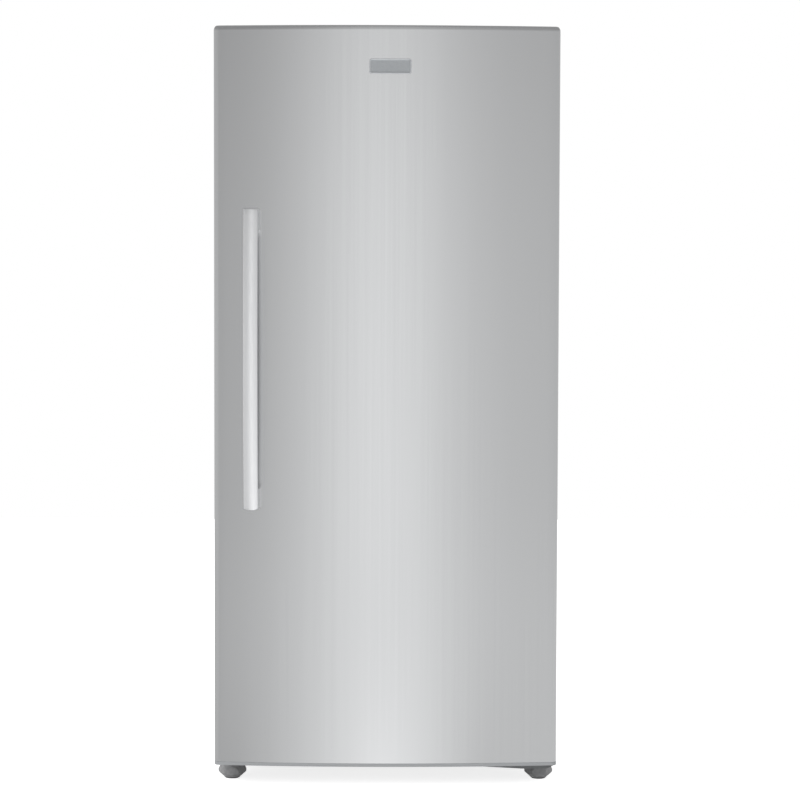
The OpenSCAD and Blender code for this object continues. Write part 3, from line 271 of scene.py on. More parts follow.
# Toughened soda-lime float glass: clear with a green cast
shelf_glass = clear_sheet("toughened_float_glass", "#f6fcfa", 0.0, 1.52, 0.005)
# Clear SAN mouldings of the drawers and bins
clear_san = clear_sheet("clear_san_moulding", "#fcfeff", 0.02, 1.45, 0.01, alpha=0.6)
# Opal acrylic over the lamp
opal = grained("opal_acrylic", "#f6f4ea", "#efede2", (6, 6, 6), (0.25, 0.32), 0.1,
               sockets={"Subsurface Weight": 0.3, "Subsurface Radius": (0.01, 0.01, 0.01)})
# Moulded dial and sliders, cool grey
control_grey = grained("cool_grey_abs", "#a4a9ad", "#9da2a6", (2, 2, 2), (0.4, 0.5), 0.03)
# Glass-filled nylon feet: grey and matt, with darker scuffs. Their grey is painted paler, as painted light
# to make up for the shade under the cabinet
foot_nylon_painted_paler = grained("scuffed_nylon_painted_paler", "#a6a6a8", "#8d8d8e", (9, 9, 9), (0.5, 0.68), 0.1, fine=5)
# Dark rubber pads under the feet: partly a real rubber sole, partly a painted contact shadow along each
# foot's base
rubber_sole_and_painted_shadow = grained("rubber_sole_and_painted_shadow", "#3a3a3b", "#2e2e2f", (3, 3, 3), (0.8, 0.9), 0.1)
# Acetal rollers, grey
roller_acetal = grained("acetal_roller", "#55585a", "#4c4f51", (12, 4, 4), (0.35, 0.5), 0.05)
# Soft vinyl door seal, grey and waxy
seal_vinyl = grained("soft_vinyl_seal", "#a5a7a8", "#9b9d9e", (12, 12, 12), (0.5, 0.62), 0.05)
# Dark print on the dial and its tick marks
dial_ink = grained("pad_printed_ink", "#3c4043", "#34383b", (1, 1, 1), (0.6, 0.7), 0.01)


# Shapes

def mesh_piece(name, points, faces, material, smooth=True, turn_out=True):
    """A new mesh object from points and faces in metres, its faces turned outwards."""
    mesh = bpy.data.meshes.new(name)
    bm = bmesh.new()
    corners = [bm.verts.new(p) for p in points]
    for face in faces:
        if len(set(face)) > 2:
            bm.faces.new([corners[i] for i in face])
    bmesh.ops.remove_doubles(bm, verts=bm.verts, dist=1e-6)
    if turn_out:
        bmesh.ops.recalc_face_normals(bm, faces=bm.faces)
    for face in bm.faces:
        face.smooth = smooth
    bm.to_mesh(mesh)
    bm.free()
    mesh.materials.append(material)
    return new_object(name, mesh)


def loft(rings, capped=True):
    """Points and faces of a skin over closed rings of equal length."""
    n = len(rings[0])
    points = [p for ring in rings for p in ring]
    faces = []
    for i in range(len(rings) - 1):
        for j in range(n):
            k = (j + 1) % n
            faces.append((i * n + j, i * n + k, (i + 1) * n + k, (i + 1) * n + j))
    if capped:
        faces.append(tuple(range(n)))
        faces.append(tuple((len(rings) - 1) * n + j for j in range(n)))
    return points, faces


def settled(piece, modifiers):
    """The piece with its modifiers made part of its mesh."""
    for kind, values in modifiers:
        modifier = piece.modifiers.new(kind, kind)
        for key, value in values.items():
            setattr(modifier, key, value)
    mesh = made_mesh(piece)
    piece.modifiers.clear()
    piece.data = mesh
    return piece


def crisp(width):
    """Rounded edges of width millimetres with evenly shaded faces between them."""
    return [("BEVEL", {"width": width * MM, "segments": 2, "limit_method": "ANGLE",
                       "angle_limit": math.radians(35), "use_clamp_overlap": True}),
            ("WEIGHTED_NORMAL", {"keep_sharp": True, "weight": 50})]


def stands_for(piece, body, slot, *replaced):
    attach(piece, body)
    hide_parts(*replaced)
    return piece


def edged_copy(node, width, fitted=None):
    """A copy of a CAD node with its loose triangles joined and its edges rounded. fitted moves
    its corners first, to make room for a finer piece beside it."""
    mesh = nodes[node].data.copy()
    bm = bmesh.new()
    bm.from_mesh(mesh)
    bmesh.ops.remove_doubles(bm, verts=bm.verts, dist=2e-6)
    if fitted:
        for vert in bm.verts:
            vert.co = fitted(vert.co)
    bmesh.ops.dissolve_limit(bm, angle_limit=math.radians(0.2), verts=bm.verts, edges=bm.edges)
    for face in bm.faces:
        face.smooth = True
    bm.to_mesh(mesh)
    bm.free()
    return settled(new_object(node + "_edged", mesh), crisp(width))


def cut_away(piece, lo, hi):
    """Takes a box from lo to hi, in metres, out of the piece."""
    corners = [(x, y, z) for x in (lo[0], hi[0]) for y in (lo[1], hi[1]) for z in (lo[2], hi[2])]
    sides = [(0, 1, 3, 2), (4, 6, 7, 5), (0, 4, 5, 1), (2, 3, 7, 6), (0, 2, 6, 4), (1, 5, 7, 3)]
    tool = mesh_piece("cutter", corners, sides, piece.data.materials[0], smooth=False)
    settled(piece, [("BOOLEAN", {"operation": "DIFFERENCE", "solver": "EXACT", "object": tool})])
    bpy.data.objects.remove(tool)


def shade_by_angle(piece, degrees=30):
    """Marks the sharp edges and shades the rest smooth."""
    bm = bmesh.new()
    bm.from_mesh(piece.data)
    for edge in bm.edges:
        edge.smooth = len(edge.link_faces) == 2 and edge.calc_face_angle(0) < math.radians(degrees)
    for face in bm.faces:
        face.smooth = True
    bm.to_mesh(piece.data)
    bm.free()
    return piece


# The door's face in plan: one wide arc, with a small arc at each upright corner
skin_lo, skin_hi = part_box("door_skin")
HALF_W = skin_hi.x
APEX_Y = skin_lo.y
BOW = 22 * MM
CORNER = 14 * MM
BOW_R = (HALF_W ** 2 + BOW ** 2) / (2 * BOW)
BOW_C = APEX_Y + BOW_R
CORNER_X = HALF_W - CORNER
CORNER_Y = BOW_C - math.sqrt((BOW_R - CORNER) ** 2 - CORNER_X ** 2)
BOW_END = math.asin(CORNER_X / (BOW_R - CORNER))
# How far the hinge pins' widest part reaches from their axis
PIN_REACH = 7 * MM


def face_y(x):
    return BOW_C - math.sqrt(BOW_R ** 2 - x ** 2)


def door_outline(inset, back, arc_steps=64, corner_steps=10):
    r = CORNER - inset
    big = BOW_R - inset
    x = HALF_W - inset
    turn = math.pi / 2 - BOW_END
    left = []
    for i in range(corner_steps + 1):
        a = turn * i / corner_steps
        left.append((-CORNER_X - r * math.cos(a), CORNER_Y - r * math.sin(a)))
    middle = []
    for i in range(1, arc_steps):
        a = -BOW_END + 2 * BOW_END * i / arc_steps
        middle.append((big * math.sin(a), BOW_C - big * math.cos(a)))
    right = [(-px, py) for px, py in reversed(left)]
    return [(-x, back)] + left + middle + right + [(x, back)]


def door_skin():
    """The folded sheet: a small radius where the face turns over the top, a hem below, and
    a notch round the top hinge."""
    low, top = skin_lo.z, skin_hi.z
    fold = 8 * MM
    rise = 12 * MM
    sheet = 1 * MM
    profile = [(sheet, low), (0.5 * MM, low), (0, low + 0.5 * MM), (0, low + 4 * MM), (0, top - rise)]
    turns = [math.radians(a) for a in range(15, 91, 15)]
    profile += [(fold * (1 - math.cos(a)), top - rise + rise * math.sin(a)) for a in turns]
    profile += [(11 * MM, top), (11 * MM, top - sheet), (fold, top - sheet)]
    profile += [(fold - (fold - sheet) * math.cos(a), top - rise + (rise - sheet) * math.sin(a))
                for a in [*reversed(turns[:-1]), 0.0]]
    rows = [[Vector((x, y, z)) for x, y in door_outline(t, skin_hi.y)] for t, z in profile]
    rings = [[row[j] for row in rows] for j in range(len(rows[0]))]
    points, faces = loft(rings)
    piece = mesh_piece("door_face", points, faces, stainless)
    cap_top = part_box("door_cap_top")[1].z
    pivot_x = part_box("hinge_pins")[1].x - PIN_REACH
    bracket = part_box("top_hinge_bracket")[0]
    notch_lo = (pivot_x - 14 * MM, bracket.y - 11.5 * MM, bracket.z - 2 * MM)
    notch_hi = (HALF_W + 10 * MM, skin_hi.y + 50 * MM, cap_top + 20 * MM)
    cut_away(piece, notch_lo, notch_hi)
    shade_by_angle(piece, 40)
    return stands_for(piece, "door", "stainless_skin", "door_skin")


door_skin()


def handle_bar():
    """An arched bar with a crowned front and a narrower back, its ends turned back as feet."""
    lo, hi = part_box("handle")
    half = (hi.z - lo.z) / 2
    mid_z = (hi.z + lo.z) / 2
    mid_x = (hi.x + lo.x) / 2
    half_w = (hi.x - lo.x) / 2
    arch = 20 * MM
    grip = 14 * MM
    post = 52 * MM
    crown = 2.4 * MM
    edge = 2.2 * MM
    flank = 1.5
    end_round = 3 * MM
    blend = 14 * MM
    hollow = 16 * MM
    upper_sag = 0.5 * MM
    lower_sag = 5 * MM
    sag_run = 40 * MM
    back_half = half_w - (grip - edge - crown) / flank
    round_off = [math.radians(a) for a in (90, 75, 60, 45, 30, 15)]
    across = [(a, -half_w + edge - edge * math.sin(a)) for a in round_off]
    across += [(0.0, (half_w - edge) * i / 6) for i in range(-6, 7)]
    across += [(a, -x) for a, x in reversed(across[:6])]
    behind = [half_w, (half_w + back_half) / 2, back_half, back_half / 2]
    behind += [0.0] + [-x for x in reversed(behind)]
    rings = []
    levels = [-half + end_round * s for s in (0, 0.15, 0.4, 0.7, 1)]
    levels += [-half + end_round + (2 * half - 2 * end_round) * (i / 48) for i in range(1, 48)]
    levels += [half - end_round * s for s in (1, 0.7, 0.4, 0.15, 0)]
    turn_in = [half - post + blend * s for s in (-1, -0.7, -0.4, -0.2, 0, 0.2)]
    levels = sorted(set(round(v, 6) for v in levels + turn_in + [-v for v in turn_in]))
    for h in levels:
        t = h / half
        front = lo.y + arch * t * t
        near_end = max(0.0, 1 - (half - abs(h)) / end_round)
        pull = end_round * (1 - math.sqrt(max(0.0, 1 - near_end ** 2)))
        inside = half - abs(h) - post
        rise = min(1.0, max(0.0, inside / blend))
        ring = []
        for turn, x in across:
            back_from = edge * (1 - math.cos(turn))
            ring.append((x, front + pull + crown * (x / half_w) ** 2 + back_from))
        fillet = (1 - math.sqrt(max(0.0, 1 - (1 - rise) ** 2))) * hollow
        for x in behind:
            door = face_y(mid_x + x) + 0.6 * MM
            belly = grip - flank * max(0.0, abs(x) - back_half)
            y = door if inside <= 0 else min(door, front + belly + fillet)
            ring.append((x, y))
        sag = math.copysign(1, -h) * (lower_sag if h < 0 else upper_sag)
        fade = max(0.0, 1 - (half - abs(h)) / sag_run)
        rings.append([Vector((mid_x + x, y, mid_z + h + sag * (x / half_w) ** 2 * fade)) for x, y in ring])
    points, faces = loft(rings)
    piece = mesh_piece("handle_bar", points, faces, handle_alu)
    shade_by_angle(piece, 30)
    return stands_for(piece, "door", "handle_metal", "handle")


handle_bar()


def rounded_plate(cx, cz, w, h, r, rings, steps=6):
    """Rings of a rounded rectangle facing -Y; each of rings is (inset, how far it stands out)."""
    made = []
    for inset, out in rings:
        ring = []
        for q in range(4):
            for i in range(steps + 1):
                a = math.pi / 2 * (q + i / steps)
                sx = 1 if q in (0, 3) else -1
                sz = 1 if q < 2 else -1
                x = cx + sx * (w / 2 - r) + (r - inset) * math.cos(a)
                z = cz + sz * (h / 2 - r) + (r - inset) * math.sin(a)
                ring.append(Vector((x, face_y(x) - out, z)))
        made.append(ring)
    return made


def plain_badge():
    """A bare satin plate with a raised rim round an etched field."""
    lo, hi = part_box("badge")
    w = hi.x - lo.x
    h = hi.z - lo.z
    cx = (lo.x + hi.x) / 2
    cz = (lo.z + hi.z) / 2
    t = APEX_Y - lo.y
    rings = rounded_plate(cx, cz, w, h, 6 * MM,
                          [(0, -0.5 * MM), (0, t - 0.8 * MM), (0.3 * MM, t - 0.2 * MM), (0.9 * MM, t),
                           (2.2 * MM, t), (2.8 * MM, t - 0.6 * MM), (5.6 * MM, t - 0.7 * MM)])
    points, faces = loft(rings)
    piece = mesh_piece("badge_plate", points, faces, badge_nickel)
    piece.data.materials.append(badge_field)
    rim = 2.6 * MM
    for face in piece.data.polygons:
        inside = abs(face.center.x - cx) < w / 2 - rim and abs(face.center.z - cz) < h / 2 - rim
        if inside and face.normal.y < -0.9:
            face.material_index = 1
    shade_by_angle(piece, 60)
    return stands_for(piece, "door", "badge_grey", "badge")


plain_badge()


def sweep_ring(name, half_x, z0, z1, profile, material):
    """A mitred frame: profile is (distance in from the frame's edge, y) pairs, a closed outline."""
    corners = [(-1, 0), (1, 0), (1, 1), (-1, 1)]
    rings = []
    for sx, top in corners + corners[:1]:
        ring = []
        for t, y in profile:
            z = (z1 - t) if top else (z0 + t)
            ring.append(Vector((sx * (half_x - t), y, z)))
        rings.append(ring)
    points, faces = loft(rings, capped=False)
    return mesh_piece(name, points, faces, material)


def door_seal():
    """Hollow magnetic seal: a foot on the door, a folded bellows and the flat magnet strip."""
    lo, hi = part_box("door_gasket")
    y0, y1 = lo.y, hi.y
    w = 22 * MM
    shape = [(0.0, y0), (0.0, y0 + 1.6 * MM), (2 * MM, y0 + 2.4 * MM), (5.5 * MM, y0 + 3 * MM),
             (3.2 * MM, y0 + 4.4 * MM), (3.2 * MM, y0 + 5.2 * MM), (6 * MM, y0 + 6.4 * MM),
             (3.4 * MM, y0 + 7.6 * MM), (3.6 * MM, y1 - 0.6 * MM), (4.4 * MM, y1),
             (w - 4.4 * MM, y1), (w - 3.6 * MM, y1 - 0.6 * MM), (w - 3.4 * MM, y0 + 7.6 * MM),
             (w - 6 * MM, y0 + 6.4 * MM), (w - 3.2 * MM, y0 + 5.2 * MM), (w - 3.2 * MM, y0 + 4.4 * MM),
             (w - 5.5 * MM, y0 + 3 * MM), (w - 2 * MM, y0 + 2.4 * MM), (w, y0 + 1.6 * MM), (w, y0)]
    piece = sweep_ring("door_seal", hi.x, lo.z, hi.z, shape, seal_vinyl)
    shade_by_angle(piece, 50)
    return stands_for(piece, "door", "seal_grey", "door_gasket")


door_seal()


# The back: a pressed sheet in front of the foam, with a hem, five stiffening ribs and screws

BACK_Y = cad_hi.y
FIELD_IN = 4 * MM
FIELD_Y = BACK_Y - FIELD_IN
COVER_Y = BACK_Y - 1.1 * MM


def ease(t):
    t = min(1.0, max(0.0, t))
    return t * t * (3 - 2 * t)


def back_sheet():
    """The sheet's field is pressed in, and its hem and ribs come out to the CAD face. The tube
    to the evaporator runs up inside the rib at 149 mm."""
    lo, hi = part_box("back_panel")
    ribs = [i * 149 * MM for i in range(-2, 3)]
    rib_ends = (lo.z + 10 * MM, hi.z - 110 * MM)
    hem = [0, 8 * MM, 9.7 * MM, 11.3 * MM, 13 * MM]
    across_rib = [s * MM for s in (-15, -12.7, -10.3, -8, -4, 0, 4, 8, 10.3, 12.7, 15)]
    flat = 8 * MM
    hem_slope = 5 * MM
    rib_slope = 7 * MM
    xs = [lo.x + h for h in hem]
    xs += [r + a for r in ribs for a in across_rib]
    xs += [hi.x - h for h in reversed(hem)]
    zs = [lo.z + h for h in hem]
    zs += [rib_ends[1] + a for a in across_rib]
    zs += [hi.z - h for h in reversed(hem)]

    def depth(x, z):
        edge = min(x - lo.x, hi.x - x, z - lo.z, hi.z - z)
        past = max(0.0, rib_ends[0] - z, z - rib_ends[1])
        rib = min(math.hypot(x - r, past) for r in ribs)
        return FIELD_IN * min(ease((edge - flat) / hem_slope), ease((rib - flat) / rib_slope))

    wide = len(xs)
    outer = [(x, BACK_Y - depth(x, z), z) for z in zs for x in xs]
    inner = [(x, y - 0.8 * MM, z) for x, y, z in outer]
    faces = []
    for j in range(len(zs) - 1):
        for i in range(wide - 1):
            a = j * wide + i
            faces.append((a, a + 1, a + wide + 1, a + wide))
            faces.append(tuple(len(outer) + k for k in (a, a + wide, a + wide + 1, a + 1)))
    border = [*range(wide), *range(2 * wide - 1, len(outer), wide),
              *range(len(outer) - 2, len(outer) - wide - 1, -1), *range(len(outer) - 2 * wide, 0, -wide)]
    for a, b in zip(border, border[1:] + border[:1]):
        faces.append((a, b, len(outer) + b, len(outer) + a))
    sheet = mesh_piece("back_sheet", outer + inner, faces, galvanised)
    shade_by_angle(sheet, 50)
    stands_for(sheet, "cabinet", "back_steel", "back_panel")
    core = edged_copy("cabinet_foam", 0.2,
                      fitted=lambda co: Vector((co.x, min(co.y, FIELD_Y - 1 * MM), co.z)))
    finish_with(core, foam)
    stands_for(core, "cabinet", "insulation", "cabinet_foam")


back_sheet()


def turned(name, profile, centre, axis, material, steps=40):
    """A round piece: profile is (radius, height) pairs in millimetres along the axis."""
    turn = Vector((0, 0, 1)).rotation_difference(Vector(axis))
    rings = []
    for r, h in profile:
        rings.append([Vector(centre) + turn @ Vector((r * MM * math.cos(2 * math.pi * i / steps),
                      r * MM * math.sin(2 * math.pi * i / steps), h * MM)) for i in range(steps)])
    points, faces = loft(rings)
    return shade_by_angle(mesh_piece(name, points, faces, material), 40)


def foam_fill_plugs():
    for name, x in (("left", -75 * MM), ("right", 75 * MM)):
        plug = turned("foam_fill_plug_" + name,
                      [(11, -6), (11, 0), (15, 0), (15, 0.5), (13.5, 1.1), (4, 1.3), (3, 0.8), (1, 0.7)],
                      (x, FIELD_Y, 1050 * MM), (0, 1, 0), trim_white)
        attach(plug, "cabinet")


foam_fill_plugs()


# What repeats: each made by its own node tree and kept as plain mesh

def grow(name, sizes, build, material, points=None):
    """Runs the tree that build fills, over loose points, and keeps what it makes. sizes are the
    tree's named inputs: whole numbers, lengths in metres, angles, or places."""
    kinds = {int: "NodeSocketInt", float: "NodeSocketFloat", tuple: "NodeSocketVector"}
    tree = bpy.data.node_groups.new(name, "GeometryNodeTree")
    tree.interface.new_socket(name="Geometry", in_out="INPUT", socket_type="NodeSocketGeometry")
    ids = {}
    for label, value in sizes.items():
        socket = tree.interface.new_socket(name=label, in_out="INPUT", socket_type=kinds[type(value)])
        ids[label] = socket.identifier
    tree.interface.new_socket(name="Geometry", in_out="OUTPUT", socket_type="NodeSocketGeometry")
    given = add(tree, "NodeGroupInput").outputs
    real = add(tree, "GeometryNodeRealizeInstances", links={"Geometry": build(tree, given)})
    dressed = add(tree, "GeometryNodeSetMaterial", {"Material": material}, {"Geometry": real.outputs[0]})
    add(tree, "NodeGroupOutput", links={"Geometry": dressed.outputs[0]})
    mesh = bpy.data.meshes.new(name)
    mesh.from_pydata([place for place, facing in points or [((0, 0, 0), (0, 0, 1))]], [], [])
    towards = mesh.attributes.new("facing", "FLOAT_VECTOR", "POINT")
    for i, (place, facing) in enumerate(points or []):
        towards.data[i].vector = facing
    piece = new_object(name, mesh)
    modifier = piece.modifiers.new(name, "NODES")
    modifier.node_group = tree
    for label, value in sizes.items():
        modifier[ids[label]] = value
    made = made_mesh(piece)
    piece.modifiers.clear()
    piece.data = made
    return piece


def screw_tree(tree, given):
    """A flat-domed head with a cross recess and its shank, on every point, turned by chance."""
    half, crown, arm, slot, radius = [maths(tree, "MULTIPLY", given["Head Diameter"], part)
                                      for part in (0.5, 0.36, 0.56, 0.12, 0.22)]
    head = add(tree, "GeometryNodeMeshCone", {"Vertices": 24},
               {"Radius Bottom": half, "Radius Top": crown, "Depth": given["Head Height"]})
    cuts = []
    for one, other in ((arm, slot), (slot, arm)):
        size = add(tree, "ShaderNodeCombineXYZ", links={"X": one, "Y": other, "Z": given["Head Height"]})
        lift = maths(tree, "MULTIPLY", given["Head Height"], 0.9)
        up = add(tree, "ShaderNodeCombineXYZ", links={"Z": lift})
        bar = add(tree, "GeometryNodeMeshCube", links={"Size": size.outputs[0]})
        cuts.append(add(tree, "GeometryNodeTransform",
                        links={"Geometry": bar.outputs[0], "Translation": up.outputs[0]}))
    cross = add(tree, "GeometryNodeMeshBoolean", {"operation": "UNION", "solver": "EXACT"})
    for cut in cuts:
        tree.links.new(cut.outputs[0], cross.inputs["Mesh 2"])
    driven = add(tree, "GeometryNodeMeshBoolean", {"operation": "DIFFERENCE", "solver": "EXACT"},
                 {"Mesh 1": head.outputs[0], "Mesh 2": cross.outputs[0]})
    shank = add(tree, "GeometryNodeMeshCylinder", {"Vertices": 12},
                {"Radius": radius, "Depth": given["Shank Length"]})
    down = maths(tree, "MULTIPLY", given["Shank Length"], -0.5)
    sink = add(tree, "ShaderNodeCombineXYZ", links={"Z": down})
    sunk = add(tree, "GeometryNodeTransform",
               links={"Geometry": shank.outputs[0], "Translation": sink.outputs[0]})
    screw = add(tree, "GeometryNodeJoinGeometry")
    for part in (driven, sunk):
        tree.links.new(part.outputs[0], screw.inputs["Geometry"])
    facing = add(tree, "GeometryNodeInputNamedAttribute", {"data_type": "FLOAT_VECTOR", "Name": "facing"})
    aimed = add(tree, "FunctionNodeAlignRotationToVector", {"axis": "Z"}, {"Vector": facing.outputs[0]})
    chance = add(tree, "FunctionNodeRandomValue", {"data_type": "FLOAT", "Max": 1.57, "Seed": 7})
    spin = add(tree, "FunctionNodeAxisAngleToRotation", {"Axis": (0, 0, 1)}, {"Angle": chance.outputs[1]})
    turned_by = add(tree, "FunctionNodeRotateRotation", {"rotation_space": "LOCAL"},
                    {"Rotation": aimed.outputs[0], "Rotate By": spin.outputs[0]})
    placed = add(tree, "GeometryNodeInstanceOnPoints", links={"Points": given["Geometry"],
                 "Instance": screw.outputs[0], "Rotation": turned_by.outputs[0]})
    return placed.outputs[0]


def screws(name, body, slot_name, material, points, head, height, shank, *replaced):
    piece = grow(name, {"Head Diameter": head * MM, "Head Height": height * MM, "Shank Length": shank * MM},
                 screw_tree, material, points)
    return stands_for(piece, body, slot_name, *replaced)


def slat_tree(tree, given):
    """A curled, sloping slat behind every opening of the back cover."""
    sheet = add(tree, "GeometryNodeMeshGrid", {"Vertices X": 2, "Vertices Y": 6},
                {"Size X": given["Slat Length"], "Size Y": given["Slat Width"]})
    place = add(tree, "GeometryNodeInputPosition")
    across = add(tree, "ShaderNodeSeparateXYZ", links={"Vector": place.outputs[0]}).outputs["Y"]
    sag = maths(tree, "DIVIDE", maths(tree, "MULTIPLY", across, across), given["Curl Radius"])
    offset = add(tree, "ShaderNodeCombineXYZ", links={"Z": maths(tree, "MULTIPLY", sag, -0.5)})
    curled = add(tree, "GeometryNodeSetPosition",
                 links={"Geometry": sheet.outputs[0], "Offset": offset.outputs[0]})
    under = add(tree, "GeometryNodeFlipFaces", links={"Mesh": curled.outputs[0]})
    thick = add(tree, "GeometryNodeExtrudeMesh", {"Individual": False},
                {"Mesh": curled.outputs[0], "Offset Scale": given["Thickness"]})
    both = add(tree, "GeometryNodeJoinGeometry")
    for part in (under, thick):
        tree.links.new(part.outputs[0], both.inputs["Geometry"])
    closed = add(tree, "GeometryNodeMergeByDistance", {"Distance": 1e-6}, {"Geometry": both.outputs[0]})
    angles = add(tree, "ShaderNodeCombineXYZ", links={"X": given["Slope"]})
    tilt = add(tree, "FunctionNodeEulerToRotation", links={"Euler": angles.outputs[0]})
    placed = add(tree, "GeometryNodeInstanceOnPoints", links={"Points": given["Geometry"],
                 "Instance": closed.outputs[0], "Rotation": tilt.outputs[0]})
    return placed.outputs[0]


def bar_ring_tree(tree, given):
    """Small bars round a centre, each pointing away from it, in the XZ plane."""
    bar = add(tree, "GeometryNodeMeshCube", links={"Size": given["Bar"]})
    out = add(tree, "ShaderNodeCombineXYZ", links={"Z": given["Radius"]})
    raised = add(tree, "GeometryNodeTransform",
                 links={"Geometry": bar.outputs[0], "Translation": out.outputs[0]})
    line = add(tree, "GeometryNodeMeshLine", {"Offset": (0, 0, 0)},
               {"Count": given["Count"], "Start Location": given["Centre"]})
    index = add(tree, "GeometryNodeInputIndex")
    angle = maths(tree, "ADD", maths(tree, "MULTIPLY", index.outputs[0], given["Step"]), given["First"])
    rotation = add(tree, "FunctionNodeAxisAngleToRotation", {"Axis": (0, 1, 0)}, {"Angle": angle})
    placed = add(tree, "GeometryNodeInstanceOnPoints", links={"Points": line.outputs[0],
                 "Instance": raised.outputs[0], "Rotation": rotation.outputs[0]})
    return placed.outputs[0]


def thread_tree(tree, given):
    """Thread crests up a stem."""
    crest = add(tree, "GeometryNodeCurvePrimitiveCircle", {"Resolution": 28},
                {"Radius": given["Stem Radius"]})
    section = add(tree, "GeometryNodeCurvePrimitiveCircle", {"Resolution": 6}, {"Radius": given["Crest"]})
    ring = add(tree, "GeometryNodeCurveToMesh",
               links={"Curve": crest.outputs[0], "Profile Curve": section.outputs[0]})
    step = add(tree, "ShaderNodeCombineXYZ", links={"Z": given["Pitch"]})
    line = add(tree, "GeometryNodeMeshLine", links={"Count": given["Count"], "Offset": step.outputs[0],
               "Start Location": given["Centre"]})
    placed = add(tree, "GeometryNodeInstanceOnPoints",
                 links={"Points": line.outputs[0], "Instance": ring.outputs[0]})
    return placed.outputs[0]


def back_screws():
    lo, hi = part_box("back_panel")
    back = (0, 1, 0)
    edge = 22 * MM
    points = [((x, FIELD_Y, lo.z + edge + i * (hi.z - lo.z - 2 * edge) / 6), back)
              for x in (lo.x + edge, hi.x - edge) for i in range(7)]
    points += [((x * MM, FIELD_Y, hi.z - edge), back) for x in (-200, 0, 200)]
    low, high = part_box("machine_cover")
    points += [((x * MM, COVER_Y, high.z - 10 * MM), back) for x in (-395, -200, 0, 200, 395)]
    points += [((x * MM, COVER_Y, low.z + 10 * MM), back) for x in (-395, -130, 130, 395)]
    screws("back_screws", "cabinet", "pin_steel", zinc, points, 12, 1.05, 8)


def hinge_fixings():
    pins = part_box("hinge_pins")
    pivot_x = pins[1].x - PIN_REACH
    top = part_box("top_hinge_bracket")
    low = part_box("bottom_hinge_bracket")
    rail_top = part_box("base_frame")[1].z
    corner = pivot_x + 10 * MM
    points = [((corner - a * MM, top[1].y - b * MM, top[1].z), (0, 0, 1))
              for a, b in ((14, 60), (14, 18), (66, 60))]
    points += [((corner - a * MM, low[1].y - 4 * MM, rail_top - 18.5 * MM), (0, -1, 0)) for a in (20, 46)]
    screws("hinge_fixings", "cabinet", "pin_steel", turned_steel, points, 12, 3, 7, "hinge_screws")


def evaporator_cover_screws():
    lo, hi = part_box("evaporator_cover")
    points = [((x, lo.y, z), (0, -1, 0)) for x in (lo.x + 16 * MM, hi.x - 16 * MM)
              for z in (lo.z + 16 * MM, (lo.z + hi.z) / 2, hi.z - 16 * MM)]
    screws("evaporator_cover_screws", "cabinet", "pin_steel", turned_steel, points, 8, 1.6, 4)


def louvre_slats():
    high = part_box("machine_cover")[1]
    lowest = high.z - 147 * MM
    rows = [lowest + i * 12 * MM for i in range(8)]
    points = [((x, BACK_Y - 5.2 * MM, z), (0, 1, 0)) for x in (-210 * MM, 0.0, 210 * MM) for z in rows]
    sizes = {"Slat Length": 108 * MM, "Slat Width": 9.5 * MM, "Curl Radius": 12 * MM,
             "Thickness": 0.6 * MM, "Slope": math.radians(38)}
    slats = grow("louvre_slats", sizes, slat_tree, galvanised, points)
    stands_for(slats, "cabinet", "back_steel")


# The dial's scale starts at 1. The grip rests upright at 7 and turns against the clock to 1
SCALE_START = math.radians(-270)


def dial_marks():
    """Tick marks and the numbers 1 to 7 on the housing, a line on the grip's pointing end, and
    grip ribs on the dial's rim."""
    lo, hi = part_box("temperature_dial")
    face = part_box("control_housing")[0].y
    x = (lo.x + hi.x) / 2
    z = (lo.z + hi.z) / 2
    r = (hi.x - lo.x) / 2
    ticks = grow("dial_ticks", {"Count": 13, "Radius": r + 1.3 * MM, "Step": math.radians(22.5),
                                "First": SCALE_START, "Bar": (0.45 * MM, 0.2 * MM, 1.5 * MM),
                                "Centre": (x, face, z)},
                 bar_ring_tree, dial_ink)
    stands_for(ticks, "cabinet", "cap_dark")
    pointer = grow("dial_pointer", {"Count": 1, "Radius": r - 7 * MM, "Step": 0.0, "First": 0.0,
                                    "Bar": (0.9 * MM, 0.2 * MM, 5 * MM), "Centre": (x, lo.y, z)},
                   bar_ring_tree, dial_ink)
    stands_for(pointer, BODY_OF["temperature_dial"], "cap_dark")
    ribs = grow("dial_grip_ribs", {"Count": 36, "Radius": r - 0.15 * MM, "Step": math.radians(10),
                                   "First": 0.0, "Bar": (1.1 * MM, 4.4 * MM, 0.9 * MM),
                                   "Centre": (x, face - 3.3 * MM, z)},
                bar_ring_tree, control_grey)
    stands_for(ribs, BODY_OF["temperature_dial"], "control_grey")
    dial_numbers(x, face, z, r + 3.7 * MM)


def dial_numbers(x, face, z, away):
    """The printed numbers, away from the dial's middle at x and z, on the housing's face."""
    bm = bmesh.new()
    for i in range(7):
        text = bpy.data.curves.new("number", "FONT")
        text.body = str(i + 1)
        text.size = 3.3 * MM
        text.extrude = 0.08 * MM
        text.align_x = "CENTER"
        text.align_y = "CENTER"
        holder = new_object("number", text)
        mesh = made_mesh(holder)
        bpy.data.objects.remove(holder)
        a = SCALE_START + math.radians(45) * i
        mesh.transform(Matrix.Translation((x + away * math.sin(a), face - 0.05 * MM, z + away * math.cos(a)))
                       @ Matrix.Rotation(math.pi / 2, 4, "X"))
        bm.from_mesh(mesh)
    numbers = bpy.data.meshes.new("dial_numbers")
    bm.to_mesh(numbers)
    bm.free()
    piece = new_object("dial_numbers", numbers)
    finish_with(piece, dial_ink)
    stands_for(piece, "cabinet", "cap_dark")


